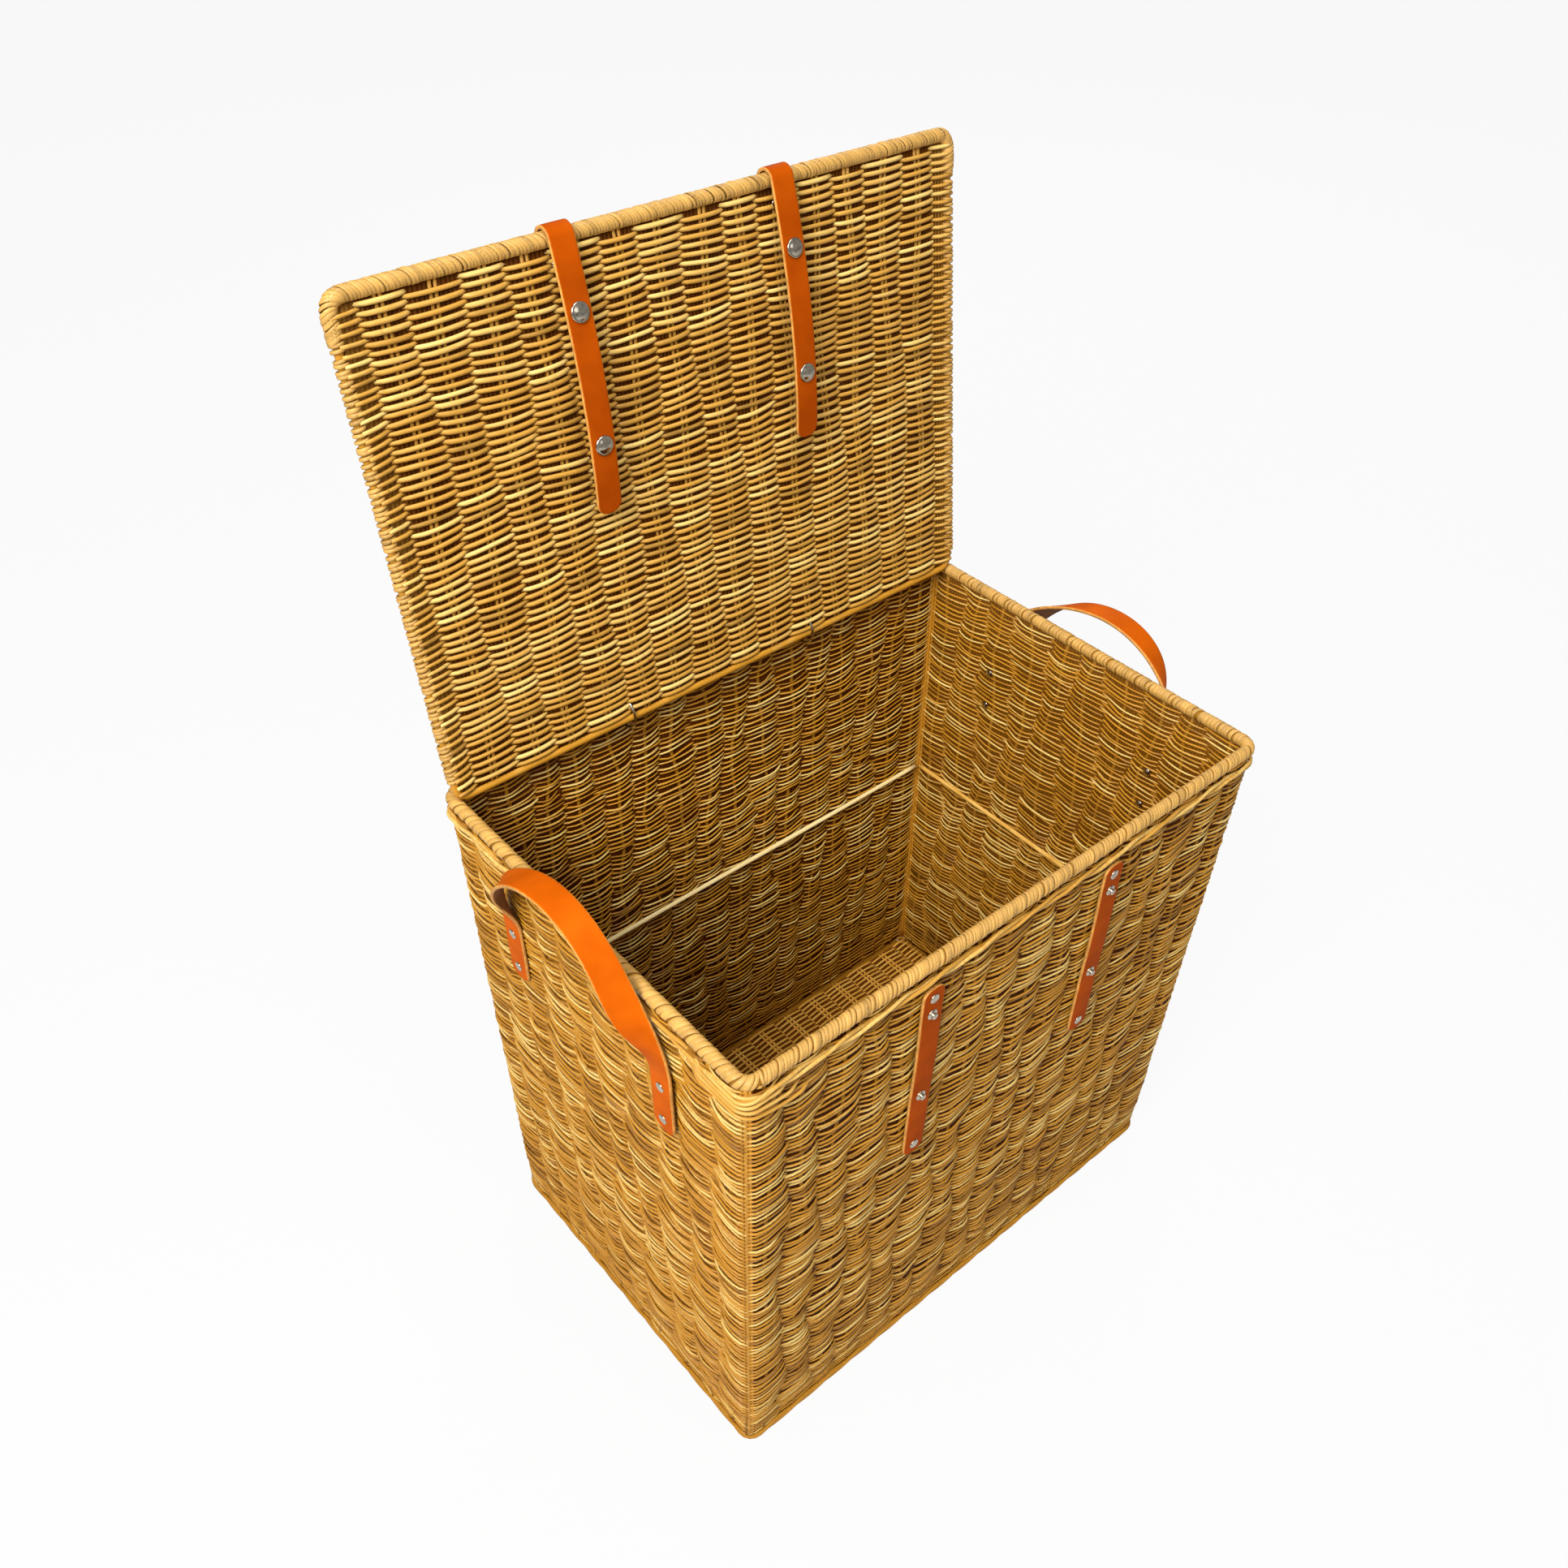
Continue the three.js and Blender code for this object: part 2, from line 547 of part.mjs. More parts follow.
// The arch lies flat on the wall at both ends, and turns through a quarter so that it stands on edge.
function handleArch(rise, slump) {
  const twistTurn = (up) => (Math.PI / 2) * THREE.MathUtils.smoothstep(up, 0, HANDLE_TWIST_RISE);
  const place = (turn) => {
    const up = rise * Math.sin(turn);
    const out = LEATHER_ON_WALL + (archMiddle - LEATHER_ON_WALL) * Math.sin(twistTurn(up));
    const along = (HANDLE_SPAN / 2) * Math.cos(turn) + slump * Math.sin(turn) ** 2;
    return new THREE.Vector3(along, HANDLE_FLEX_HEIGHT + FLEX_GAP / 2 + up, out);
  };
  const stations = Array.from({ length: ARCH_STEPS + 1 }, (_, i) => {
    const turn = (Math.PI * i) / ARCH_STEPS;
    const step = 0.01;
    const direction = place(turn + step).sub(place(turn - step)).normalize();
    const twist = twistTurn(rise * Math.sin(turn));
    const away = new THREE.Vector3(0, 0, -1).cross(direction).normalize();
    const normal = new THREE.Vector3(0, 0, Math.cos(twist)).addScaledVector(away, Math.sin(twist));
    normal.addScaledVector(direction, -normal.dot(direction)).normalize();
    const across = new THREE.Vector3().crossVectors(direction, normal);
    return { middle: place(turn), across, normal, half: HANDLE_WIDTH / 2 };
  });
  for (const [end, way] of [[0, 1], [ARCH_STEPS, -1]]) {
    stations[end].across.set(way, 0, 0);
    stations[end].normal.set(0, 0, 1);
  }
  return strap(stations);
}

for (const [side, sign] of [['left', -1], ['right', 1]]) {
  const wall = wallGroup('x', sign);
  const upperRivet = HANDLE_FLEX_HEIGHT - HANDLE_UPPER_RIVET_DROP;
  const lowerRivet = upperRivet - HANDLE_RIVET_PITCH;
  const ends = { front: (-sign * HANDLE_SPAN) / 2, rear: (sign * HANDLE_SPAN) / 2 };
  const places = Object.entries(ends).flatMap(([end, x]) => [
    [`${end}_upper_rivet`, x, upperRivet],
    [`${end}_lower_rivet`, x, lowerRivet],
  ]);
  const holes = places.map(([, x, y]) => wallDrill([x, y]));
  add(wall.group, `${side}_wall`, cut(wallSheet(wall), holes), rattan);
  for (const [end, x] of Object.entries(ends)) {
    const top = HANDLE_FLEX_HEIGHT - FLEX_GAP / 2;
    const flat = flatStrap(x, lowerRivet - HANDLE_TAIL, top, LEATHER_ON_WALL, false, HANDLE_WIDTH);
    add(wall.group, `handle_${side}_${end}_end`, cut(flat, holes), leather);
  }
  add(wall.group, `handle_${side}_arch`, handleArch(HANDLE_RISES[side], -sign * HANDLE_SLUMP), leather);
  for (const [name, x, y] of places) {
    add(wall.group, `handle_${side}_${name}`, rivet(onWallTop, -HALF_WALL), nickel).position.set(x, y, 0);
  }
}

// Corner posts, tangent to the outer faces of both walls
for (const [nameY, signY] of [['front', -1], ['back', 1]]) {
  for (const [nameX, signX] of [['left', -1], ['right', 1]]) {
    const at = (z) => new THREE.Vector3(
      signX * (wallMiddle('x', z) - HALF_WALL),
      signY * (wallMiddle('y', z) - HALF_WALL),
      z,
    );
    const low = at(WALL_BOTTOM + SEAT);
    const high = at(RIM_HEIGHT - RIM_RADIUS - 2 * SEAT);
    const line = new THREE.Vector3().subVectors(high, low);
    const post = new THREE.CylinderGeometry(POST_RADIUS, POST_RADIUS, line.length(), 12);
    const mesh = add(trunk, `corner_post_${nameY}_${nameX}`, post, rattan);
    mesh.quaternion.setFromUnitVectors(new THREE.Vector3(0, 1, 0), line.clone().normalize());
    mesh.position.addVectors(low, high).multiplyScalar(0.5);
  }
}

// Mouth rim: a bent rod inside its lashing
const rimPath = rodLoop(RIM_MIDDLE.x, RIM_MIDDLE.y, RIM_CORNER_RADIUS);
const rim = new THREE.Group();
rim.position.z = RIM_HEIGHT;
trunk.add(rim);
add(rim, 'mouth_rim_rod', rod(rimPath, RIM_CORE_RADIUS), rattan);
add(rim, 'mouth_rim_lashing', rod(rimPath, RIM_RADIUS, RIM_CORE_RADIUS + SEAT), cane);

// Rails half way up the inside, butted against the corner posts
const railWalls = [['front', 'y', -1], ['back', 'y', 1], ['left', 'x', -1], ['right', 'x', 1]];
for (const [name, axis, sign] of railWalls) {
  const other = axis === 'x' ? 'y' : 'x';
  const length = 2 * (wallMiddle(other, RAIL_HEIGHT) - HALF_WALL - POST_RADIUS - 2 * SEAT);
  const rail = new THREE.CylinderGeometry(RAIL_RADIUS, RAIL_RADIUS, length, ROD_SIDES);
  const mesh = add(trunk, `rail_${name}`, rail, cane);
  mesh.rotation.z = axis === 'y' ? Math.PI / 2 : 0;
  mesh.position[axis] = sign * (wallMiddle(axis, RAIL_HEIGHT) - HALF_WALL - 2 * SEAT - RAIL_RADIUS);
  mesh.position.z = RAIL_HEIGHT;
}

// Lid
// Its group turns about the pivot line: X to the right, Y to the front rim, Z out of the inner face.
const lid = new THREE.Group();
lid.position.copy(PIVOT);
lid.rotation.x = openTurn;
trunk.add(lid);

const lidCorner = (sign, y) => {
  const share = (y + LID_PIVOT_SETBACK) / LID_DEPTH;
  return new THREE.Vector3((sign * THREE.MathUtils.lerp(LID_REAR_WIDTH, LID_FRONT_WIDTH, share)) / 2, y, 0);
};
const lidRodPath = filleted([
  new THREE.Vector3(-ROD_JOINT / 2, -LID_PIVOT_SETBACK, 0),
  lidCorner(-1, -LID_PIVOT_SETBACK),
  lidCorner(-1, LID_FRONT),
  lidCorner(1, LID_FRONT),
  lidCorner(1, -LID_PIVOT_SETBACK),
  new THREE.Vector3(ROD_JOINT / 2, -LID_PIVOT_SETBACK, 0),
], LID_CORNER_RADIUS);
const lidLashingPath = filleted([
  lidCorner(-1, LID_FRONT - LID_WRAP_RETURN),
  lidCorner(-1, LID_FRONT),
  lidCorner(1, LID_FRONT),
  lidCorner(1, LID_FRONT - LID_WRAP_RETURN),
], LID_CORNER_RADIUS);
add(lid, 'lid_rod', rod(lidRodPath, LID_ROD_RADIUS), rattan);
add(lid, 'lid_rim_lashing', rod(lidLashingPath, RIM_RADIUS, LID_ROD_RADIUS + SEAT), cane);

const lidInset = LID_ROD_RADIUS + 2 * SEAT;
const lidBottom = lidInset - LID_PIVOT_SETBACK;
const lidTop = LID_FRONT - RIM_RADIUS - 2 * SEAT;
const lidSheet = wovenSheet({
  bottom: lidBottom,
  top: lidTop,
  halfBottom: lidCorner(1, lidBottom).x - lidInset,
  halfTop: lidCorner(1, lidTop).x - lidInset,
  thickness: LID_THICKNESS,
  relief: LID_RELIEF,
  sway: LID_SWAY,
  pitch: LID_STAKE_PITCH,
  band: LID_BAND,
});
const ringSlotEnd = ringRadius + RING_WIRE_RADIUS - ringCentre.length() + HALF_LID + RING_SLOT_CLEARANCE;
const anchorRivetY = LID_FRONT - ANCHOR_RIVET_DROP;
const lidCutters = [rod(lidRodPath, LID_ROD_RADIUS + SEAT), rod(lidLashingPath, RIM_RADIUS + SEAT)];
const anchorHoles = [];
for (const x of Object.values(STRAP_PLACES)) {
  lidCutters.push(box(
    new THREE.Vector3(x - ringSlotHalf, -2 * LID_PIVOT_SETBACK, -LID_THICKNESS),
    new THREE.Vector3(x + ringSlotHalf, ringSlotEnd, LID_THICKNESS),
  ));
  for (const way of [-1, 1]) {
    const place = x + (way * ANCHOR_RIVET_SPREAD) / 2;
    anchorHoles.push(drill(place, anchorRivetY, RIVET_SHANK_RADIUS + HOLE_CLEARANCE, 4 * LID_THICKNESS));
  }
}
add(lid, 'lid_weave', cut(lidSheet, [...lidCutters, ...anchorHoles]), rattan);

// Closing straps: riveted outside the lid, bent over its front rim and hanging inside it
const rimPoint = (degrees, radius) => {
  const turn = THREE.MathUtils.degToRad(degrees);
  return new THREE.Vector3(0, LID_FRONT + radius * Math.cos(turn), radius * Math.sin(turn));
};
const rimDirection = (degrees) => rimPoint(degrees + 90, 1).setY(rimPoint(degrees + 90, 1).y - LID_FRONT);
const acrossStrap = new THREE.Vector3(1, 0, 0);
const faceNormal = (direction) => new THREE.Vector3().crossVectors(acrossStrap, direction);
const gapTurn = THREE.MathUtils.radToDeg(FLEX_GAP / STRAP_INNER_RADIUS);

const leave = rimPoint(TONGUE_LEAVE_ANGLE, STRAP_MIDDLE_RADIUS);
const hangToLeave = STRAP_MIDDLE_RADIUS * THREE.MathUtils.degToRad(TONGUE_LEAVE_ANGLE);
const tongueLength = SNAP_DROP - hangToLeave + SNAP_PITCH + TONGUE_BELOW_SNAP;
const tongueTip = new THREE.Vector3(0, leave.y - tongueLength * 0.985, TONGUE_TIP_OFFSET);
const tongueLine = new THREE.CubicBezierCurve3(
  leave,
  leave.clone().addScaledVector(rimDirection(TONGUE_LEAVE_ANGLE), TONGUE_SWELL),
  new THREE.Vector3(0, THREE.MathUtils.lerp(leave.y, tongueTip.y, 0.62), TONGUE_TIP_OFFSET * 1.6),
  tongueTip,
);
const alongTongue = (distance) => {
  const share = distance / tongueLine.getLength();
  const direction = tongueLine.getTangentAt(share);
  return { middle: tongueLine.getPointAt(share), across: acrossStrap, normal: faceNormal(direction) };
};

function tongue() {
  const whole = tongueLine.getLength();
  const ends = roundedEnd().map(([along, half]) => ({ ...alongTongue(whole - along), half })).reverse();
  const start = FLEX_GAP;
  const stop = whole - STRAP_WIDTH;
  const run = Array.from({ length: TONGUE_STEPS }, (_, i) => {
    return alongTongue(THREE.MathUtils.lerp(start, stop, i / (TONGUE_STEPS - 1)));
  });
  return strap([...run, ...ends]);
}

function bend() {
  return strap(Array.from({ length: BEND_STEPS }, (_, i) => {
    const degrees = THREE.MathUtils.lerp(-90 + gapTurn, TONGUE_LEAVE_ANGLE, i / (BEND_STEPS - 1));
    const middle = rimPoint(degrees, STRAP_MIDDLE_RADIUS);
    return { middle, across: acrossStrap, normal: faceNormal(rimDirection(degrees)) };
  }));
}

// From the tail on the lid's outer face, up onto the lashed rim.
function anchor() {
  const low = -(HALF_LID + SEAT + STRAP_THICKNESS / 2);
  const flat = new THREE.Vector3(0, 0, 1);
  const station = (y, z, half) => {
    return { middle: new THREE.Vector3(0, y, z), across: acrossStrap, normal: flat, half };
  };
  const tail = anchorRivetY - ANCHOR_TAIL;
  return strap([
    ...roundedEnd().map(([along, half]) => station(tail + along, low, half)),
    station(anchorRivetY + ANCHOR_HEAD_RADIUS, low),
    station(LID_FRONT, -STRAP_MIDDLE_RADIUS),
  ]);
}

const snapDistances = { upper: SNAP_DROP - hangToLeave, lower: SNAP_DROP - hangToLeave + SNAP_PITCH };
for (const [side, x] of Object.entries(STRAP_PLACES)) {
  const holder = new THREE.Group();
  holder.position.x = x;
  lid.add(holder);
  const ownHoles = anchorHoles.map((hole) => hole.clone().translate(-x, 0, 0));
  add(holder, `strap_${side}_anchor`, cut(anchor(), ownHoles), leather);
  add(holder, `strap_${side}_bend`, bend(), leather);
  const capSeats = Object.entries(snapDistances).map(([name, distance]) => [name, alongTongue(distance)]);
  const turnFor = (normal) => new THREE.Quaternion().setFromUnitVectors(new THREE.Vector3(0, 0, 1), normal);
  const capHoles = capSeats.map(([, { middle, normal }]) => {
    const hole = drill(0, 0, RIVET_SHANK_RADIUS + HOLE_CLEARANCE, 2 * STRAP_THICKNESS);
    return hole.applyQuaternion(turnFor(normal)).translate(middle.x, middle.y, middle.z);
  });
  add(holder, `strap_${side}_tongue`, cut(tongue(), capHoles), leather);
  for (const [name, { middle, normal }] of capSeats) {
    const cap = add(holder, `strap_${side}_${name}_cap`, snapCap(), nickel);
    cap.quaternion.copy(turnFor(normal));
    cap.position.copy(middle);
  }
  for (const [name, way] of [['outer', Math.sign(x)], ['inner', -Math.sign(x)]]) {
    const pin = rivet(HALF_LID + SEAT + STRAP_THICKNESS, -HALF_LID, ANCHOR_HEAD_RADIUS).rotateY(Math.PI);
    add(holder, `strap_${side}_${name}_rivet`, pin, nickel)
      .position.set((way * ANCHOR_RIVET_SPREAD) / 2, anchorRivetY, 0);
  }
}

export default trunk;
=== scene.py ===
"""Woven storage basket with a hinged lid: the looks of the part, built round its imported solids."""

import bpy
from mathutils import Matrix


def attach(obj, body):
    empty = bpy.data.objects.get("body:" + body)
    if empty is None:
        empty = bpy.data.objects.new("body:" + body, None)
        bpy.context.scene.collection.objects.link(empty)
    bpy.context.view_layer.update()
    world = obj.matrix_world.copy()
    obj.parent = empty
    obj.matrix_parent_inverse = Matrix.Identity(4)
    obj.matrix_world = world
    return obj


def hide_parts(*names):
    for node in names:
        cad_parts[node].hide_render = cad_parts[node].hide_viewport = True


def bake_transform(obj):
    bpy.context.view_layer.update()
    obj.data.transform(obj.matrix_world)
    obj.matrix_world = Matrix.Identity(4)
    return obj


bl_info = {
    "name": "Woven Storage Basket",
    "version": (1, 0, 0),
    "blender": (4, 5, 0),
    "location": "View3D > Sidebar > Basket",
    "description": "Builds the weave, lashings, leather and fasteners of a lidded storage basket",
    "category": "Object",
}

import math

import bpy
import numpy as np
from bpy.props import FloatProperty, FloatVectorProperty, IntProperty, PointerProperty
from mathutils import Matrix

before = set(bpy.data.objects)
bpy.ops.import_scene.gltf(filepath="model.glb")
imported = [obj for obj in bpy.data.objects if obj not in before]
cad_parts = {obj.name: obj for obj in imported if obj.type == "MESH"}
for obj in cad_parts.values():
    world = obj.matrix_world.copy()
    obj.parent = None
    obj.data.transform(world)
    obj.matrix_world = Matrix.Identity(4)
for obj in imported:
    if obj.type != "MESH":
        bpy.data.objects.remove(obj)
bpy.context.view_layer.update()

# Sizes shared with the solids, in metres

MM = 0.001
TURN = 2 * math.pi
UP = np.array([0.0, 0.0, 1.0])
MOUTH_HALF = np.array([250.0, 170.5]) * MM
FOOT_HALF = np.array([241.5, 161.5]) * MM
RIM_HEIGHT = 478.0 * MM
RIM_RADIUS = 6.1 * MM
RIM_CORNER = 10.5 * MM
FOOT_CORNER = 10.0 * MM
FOOT_RADIUS = 4.0 * MM
WALL_FACE = 4.0 * MM
WALL_CORNER = 5.0 * MM
BASE_HALF = np.array([239.3, 159.3]) * MM
BASE_MIDDLE = 3.5 * MM
RAIL_HEIGHT = 254.0 * MM
RAIL_RADIUS = 2.25 * MM
RAIL_INSET = 6.85 * MM
LID_PIVOT = np.array([0.0, 157.0, 490.9]) * MM
LID_LEAN = math.radians(7.8)
LID_REAR = -8.5 * MM
LID_FRONT = 347.5 * MM
LID_REAR_HALF = 249.0 * MM
LID_FRONT_HALF = 253.5 * MM
LID_CORNER = 10.0 * MM
LID_ROD_RADIUS = 3.0 * MM
RING_CENTRE = np.array([165.64, 482.64]) * MM
RING_RADIUS = 14.3 * MM
RING_WIRE = 1.0 * MM
STRAP_PLACES = {"left": -96.0 * MM, "right": 85.0 * MM}
LEATHER_MIDDLE = 5.55 * MM
SNAP_LEVELS = (434.0 * MM, 346.0 * MM)
TAB_RIVET_LEVELS = (450.0 * MM, 288.0 * MM)
TAB_ENDS = (278.0 * MM, 460.0 * MM)
TONGUE = np.array([[348.83, 7.53], [301.56, 15.87], [235.05, 24.0], [165.31, 15.0]]) * MM
TONGUE_CAPS = (46.3 * MM, 134.3 * MM)
BEND_RADIUS = 7.65 * MM
BEND_END = math.radians(80)
ANCHOR_START = np.array([322.5, -5.55]) * MM
ANCHOR_RIVET = 332.5 * MM
ANCHOR_RIVET_STEP = 4.5 * MM
HANDLE_HALF = 89.0 * MM
HANDLE_RIVET_LEVELS = (402.5 * MM, 367.5 * MM)
HANDLE_TAIL = 355.5 * MM
HANDLE_FLEX = 410.2 * MM
HANDLE_RISES = {"left": 114.0 * MM, "right": 94.0 * MM}
HANDLE_SLUMP = 12.0 * MM
HANDLE_TWIST = 92.0 * MM
HANDLE_CLEAR = 20.85 * MM

# The four walls in order round the basket: the way along, the way out, the axis it runs on

SIDES = {
    "front": (np.array([1.0, 0.0]), np.array([0.0, -1.0]), 0),
    "right": (np.array([0.0, 1.0]), np.array([1.0, 0.0]), 1),
    "back": (np.array([-1.0, 0.0]), np.array([0.0, 1.0]), 0),
    "left": (np.array([0.0, -1.0]), np.array([-1.0, 0.0]), 1),
}

# Starts of the random draws

ROWS_SEED = 11
STAKES_SEED = 23
BASE_SEED = 31
MOUTH_SEED = 41
RAILS_SEED = 47
LID_SEED = 53

# Facets round the strands of the walls and base, and round those of the lid

ROW_FACETS = 5
LID_ROW_FACETS = 6
STAKE_FACETS = 6
LINER_FACETS = 5


# Settings that a user would change

def length_setting(name, description, default, low, high):
    """A length, given here in millimetres."""
    return FloatProperty(
        name=name, description=description, default=default * MM, min=low * MM, max=high * MM,
        unit="LENGTH", precision=5)


def count_setting(name, description, default, low, high):
    """A whole number."""
    return IntProperty(name=name, description=description, default=default, min=low, max=high)


def colour_setting(name, description, default):
    """A colour."""
    return FloatVectorProperty(
        name=name, description=description, default=default, size=3, min=0, max=1, subtype="COLOR")


def angle_setting(name, description, degrees):
    """An angle, given here in degrees."""
    return FloatProperty(
        name=name, description=description, default=math.radians(degrees), subtype="ANGLE")


def lamp_setting(name, description, watts):
    """The power of a lamp."""
    return FloatProperty(name=name, description=description, default=watts, min=0, unit="POWER")


class BasketWeave(bpy.types.PropertyGroup):
    """Sizes of the woven walls, base and lid"""

    wall_row_pitch: length_setting(
        "Wall row pitch", "Height from one wall row to the next", 2.3, 1.2, 6)
    wall_strand: length_setting("Wall strand", "Thickness of a wall strand", 1.8, 1, 4)
    wall_swell: length_setting(
        "Wall swell", "How far a wall strand swings out past a stake", 3.7, 1, 6)
    long_gaps: count_setting(
        "Long wall gaps", "Stake gaps along the front and back walls", 16, 6, 40)
    short_gaps: count_setting("Short wall gaps", "Stake gaps along the side walls", 10, 4, 30)
    unevenness: FloatProperty(
        name="Unevenness", description="How far hand weaving wanders",
        default=1.0, min=0.0, max=2.0, subtype="FACTOR")
    lid_row_pitch: length_setting(
        "Lid row pitch", "Distance from one lid row to the next", 2.9, 2, 8)
    lid_strand: length_setting("Lid strand", "Thickness of a lid strand", 3.7, 1, 6)
    lid_gaps: count_setting("Lid gaps", "Stake gaps across the lid", 15, 4, 30)
    base_row_pitch: length_setting(
        "Base row pitch", "Distance from one base row to the next", 2.7, 1.5, 8)
    base_strand: length_setting("Base strand", "Thickness of a base strand", 2.6, 1, 5)
    base_gaps: count_setting("Base gaps", "Stake gaps along the base", 14, 4, 30)


class BasketLashing(bpy.types.PropertyGroup):
    """Sizes of the wound cane on the rims"""

    rim_turn: length_setting("Rim turn", "Length of rim that one turn of cane covers", 2.7, 2, 10)
    lid_turn: length_setting(
        "Lid turn", "Length of lid rim that one turn of cane covers", 2.5, 2, 10)
    edge_turn: length_setting(
        "Lid side turn", "Length of lid side that one turn of strand covers", 3.9, 2, 10)


class BasketLeather(bpy.types.PropertyGroup):
    """Sizes of the leather straps"""

    width: length_setting("Width", "Width of the closing straps and tabs", 20, 8, 40)
    handle_width: length_setting("Handle width", "Width of the two handles", 22.5, 8, 40)
    thickness: length_setting("Thickness", "Thickness of every strap", 2.5, 1, 5)


class BasketColours(bpy.types.PropertyGroup):
    """Colours of the basket"""

    rattan: colour_setting("Rattan", "Main colour of the woven strands", (0.61, 0.275, 0.020))
    rattan_pale: colour_setting("Pale rattan", "Colour of the palest strands", (0.90, 0.63, 0.19))
    rattan_deep: colour_setting(
        "Deep rattan", "Colour of the darkest strands", (0.31, 0.128, 0.012))
    cane: colour_setting("Cane", "Main colour of the wound cane", (0.60, 0.335, 0.080))
    # The rails and the base are partly paler cane and partly painted light for the shade inside the
    # basket.
    straw: colour_setting("Straw", "Main colour of the inner rails", (0.96, 0.60, 0.16))
    bottom: colour_setting("Base", "Main colour of the woven base", (0.90, 0.47, 0.075))
    leather: colour_setting("Leather", "Colour of the leather's grain side", (0.66, 0.110, 0.002))
    leather_flesh: colour_setting(
        "Leather back", "Colour of the leather's flesh side", (0.17, 0.065, 0.02))
    leather_edge: colour_setting(
        "Leather edge", "Colour of the leather's cut edge", (0.80, 0.37, 0.07))
    nickel: colour_setting("Nickel", "Colour of the fasteners", (0.62, 0.56, 0.45))


class BasketStage(bpy.types.PropertyGroup):
    """Camera and light"""

    lens: FloatProperty(
        name="Lens", description="Focal length on a sensor 36 mm wide", default=32.75,
        min=10, max=200, unit="CAMERA")
    yaw: angle_setting("Yaw", "Direction of view round the upright axis", 41.03)
    pitch: angle_setting("Pitch", "How far the view looks down", 40.61)
    roll: angle_setting("Roll", "How far the camera is tipped", 0.94)
    place: FloatVectorProperty(
        name="Place", description="Where the camera stands",
        default=(-0.5758, -0.57525, 1.1594), size=3, subtype="TRANSLATION")
    key: lamp_setting("Key light", "Power of the main lamp", 50.0)
    fill: lamp_setting("Fill light", "Power of the second lamp", 10.5)
    top: lamp_setting("Top light", "Power of the lamp above the basket", 13.0)
    back: lamp_setting("Back light", "Power of the lamp behind the basket", 22.0)
    sky: FloatProperty(
        name="Sky", description="Strength of the even light from all round", default=0.29, min=0)


# Shader building

class Socket:
    """A shader socket that can be used in Python expressions"""

    def __init__(self, paint, socket):
        self.paint = paint
        self.socket = socket

    def _maths(self, operation, first, second):
        """Adds a Math node on two values or links."""
        made = self.paint.node("ShaderNodeMath", {"operation": operation}, {0: first, 1: second})
        return made[0]

    def __add__(self, other):
        return self._maths("ADD", self, other)

    def __radd__(self, other):
        return self._maths("ADD", other, self)

    def __sub__(self, other):
        return self._maths("SUBTRACT", self, other)

    def __rsub__(self, other):
        return self._maths("SUBTRACT", other, self)

    def __mul__(self, other):
        return self._maths("MULTIPLY", self, other)

    def __rmul__(self, other):
        return self._maths("MULTIPLY", other, self)

    def __abs__(self):
        return self._maths("ABSOLUTE", self, 0.0)


class Made:
    """A node whose outputs are fetched by name or place"""

    def __init__(self, paint, node):
        self.paint = paint
        self.node = node

    def __getitem__(self, key):
        return Socket(self.paint, self.node.outputs[key])


class Paint:
    """One material or world and the nodes in it"""

    def __init__(self, owner):
        owner.use_nodes = True
        self.owner = owner
        self.tree = owner.node_tree
        self.tree.nodes.clear()

    def node(self, kind, settings=None, sockets=None):
        """Adds a node: its settings first, then the values or links of its sockets."""
        made = self.tree.nodes.new(kind)
        for key, value in (settings or {}).items():
            if key == "stops":
                self._stops(made.color_ramp, value)
            else:
                setattr(made, key, value)
        for key, value in (sockets or {}).items():
            if isinstance(value, Socket):
                self.tree.links.new(value.socket, made.inputs[key])
            else:
                made.inputs[key].default_value = value
        return Made(self, made)

    def _stops(self, ramp, stops):
        """Sets a ramp's places and colours."""
        while len(ramp.elements) < len(stops):
            ramp.elements.new(0.5)
        for element, (place, shade) in zip(ramp.elements, stops):
            element.position = place
            element.color = colour(shade)

    def noise(self, vector, scale, detail=3.0, roughness=0.55):
        """Noise at one scale, or stretched by three of them."""
        if isinstance(scale, tuple):
            vector = self.node(
                "ShaderNodeVectorMath", {"operation": "MULTIPLY"}, {0: vector, 1: scale})["Vector"]
            scale = 1.0
        made = self.node(
            "ShaderNodeTexNoise", {"noise_dimensions": "3D"},
            {"Vector": vector, "Scale": scale, "Detail": detail, "Roughness": roughness})
        return made["Fac"]

    def cells(self, vector, scale):
        """Distance from the middle of small cells."""
        made = self.node(
            "ShaderNodeTexVoronoi", {"feature": "F1"}, {"Vector": vector, "Scale": scale})
        return made["Distance"]

    def step(self, value, low, high):
        """Smooth rise from 0 at low to 1 at high."""
        made = self.node(
            "ShaderNodeMapRange", {"interpolation_type": "SMOOTHSTEP"},
            {"Value": value, "From Min": low, "From Max": high})
        return made["Result"]

    def mix(self, share, first, second):
        """Two colours mixed by a share of the second."""
        made = self.node(
            "ShaderNodeMix", {"data_type": "RGBA"},
            {0: share, 6: colour(first), 7: colour(second)})
        return made[2]

    def strand(self):
        """What the mesh holds for each point of a strand or strap."""
        return self.node("ShaderNodeAttribute", {"attribute_name": "strand"})["Vector"]

    def parts(self, vector):
        """The three parts of a vector."""
        made = self.node("ShaderNodeSeparateXYZ", {}, {0: vector})
        return made["X"], made["Y"], made["Z"]

    def bump(self, height, strength, distance):
        """A normal that follows a height."""
        made = self.node(
            "ShaderNodeBump", {}, {"Height": height, "Strength": strength, "Distance": distance})
        return made["Normal"]

    def finish(self, **sockets):
        """Joins everything to one shader and gives back the material."""
        names = {key.replace("_", " "): value for key, value in sockets.items()}
        shader = self.node("ShaderNodeBsdfPrincipled", {}, names)
        self.node("ShaderNodeOutputMaterial", {}, {"Surface": shader["BSDF"]})
        return self.owner


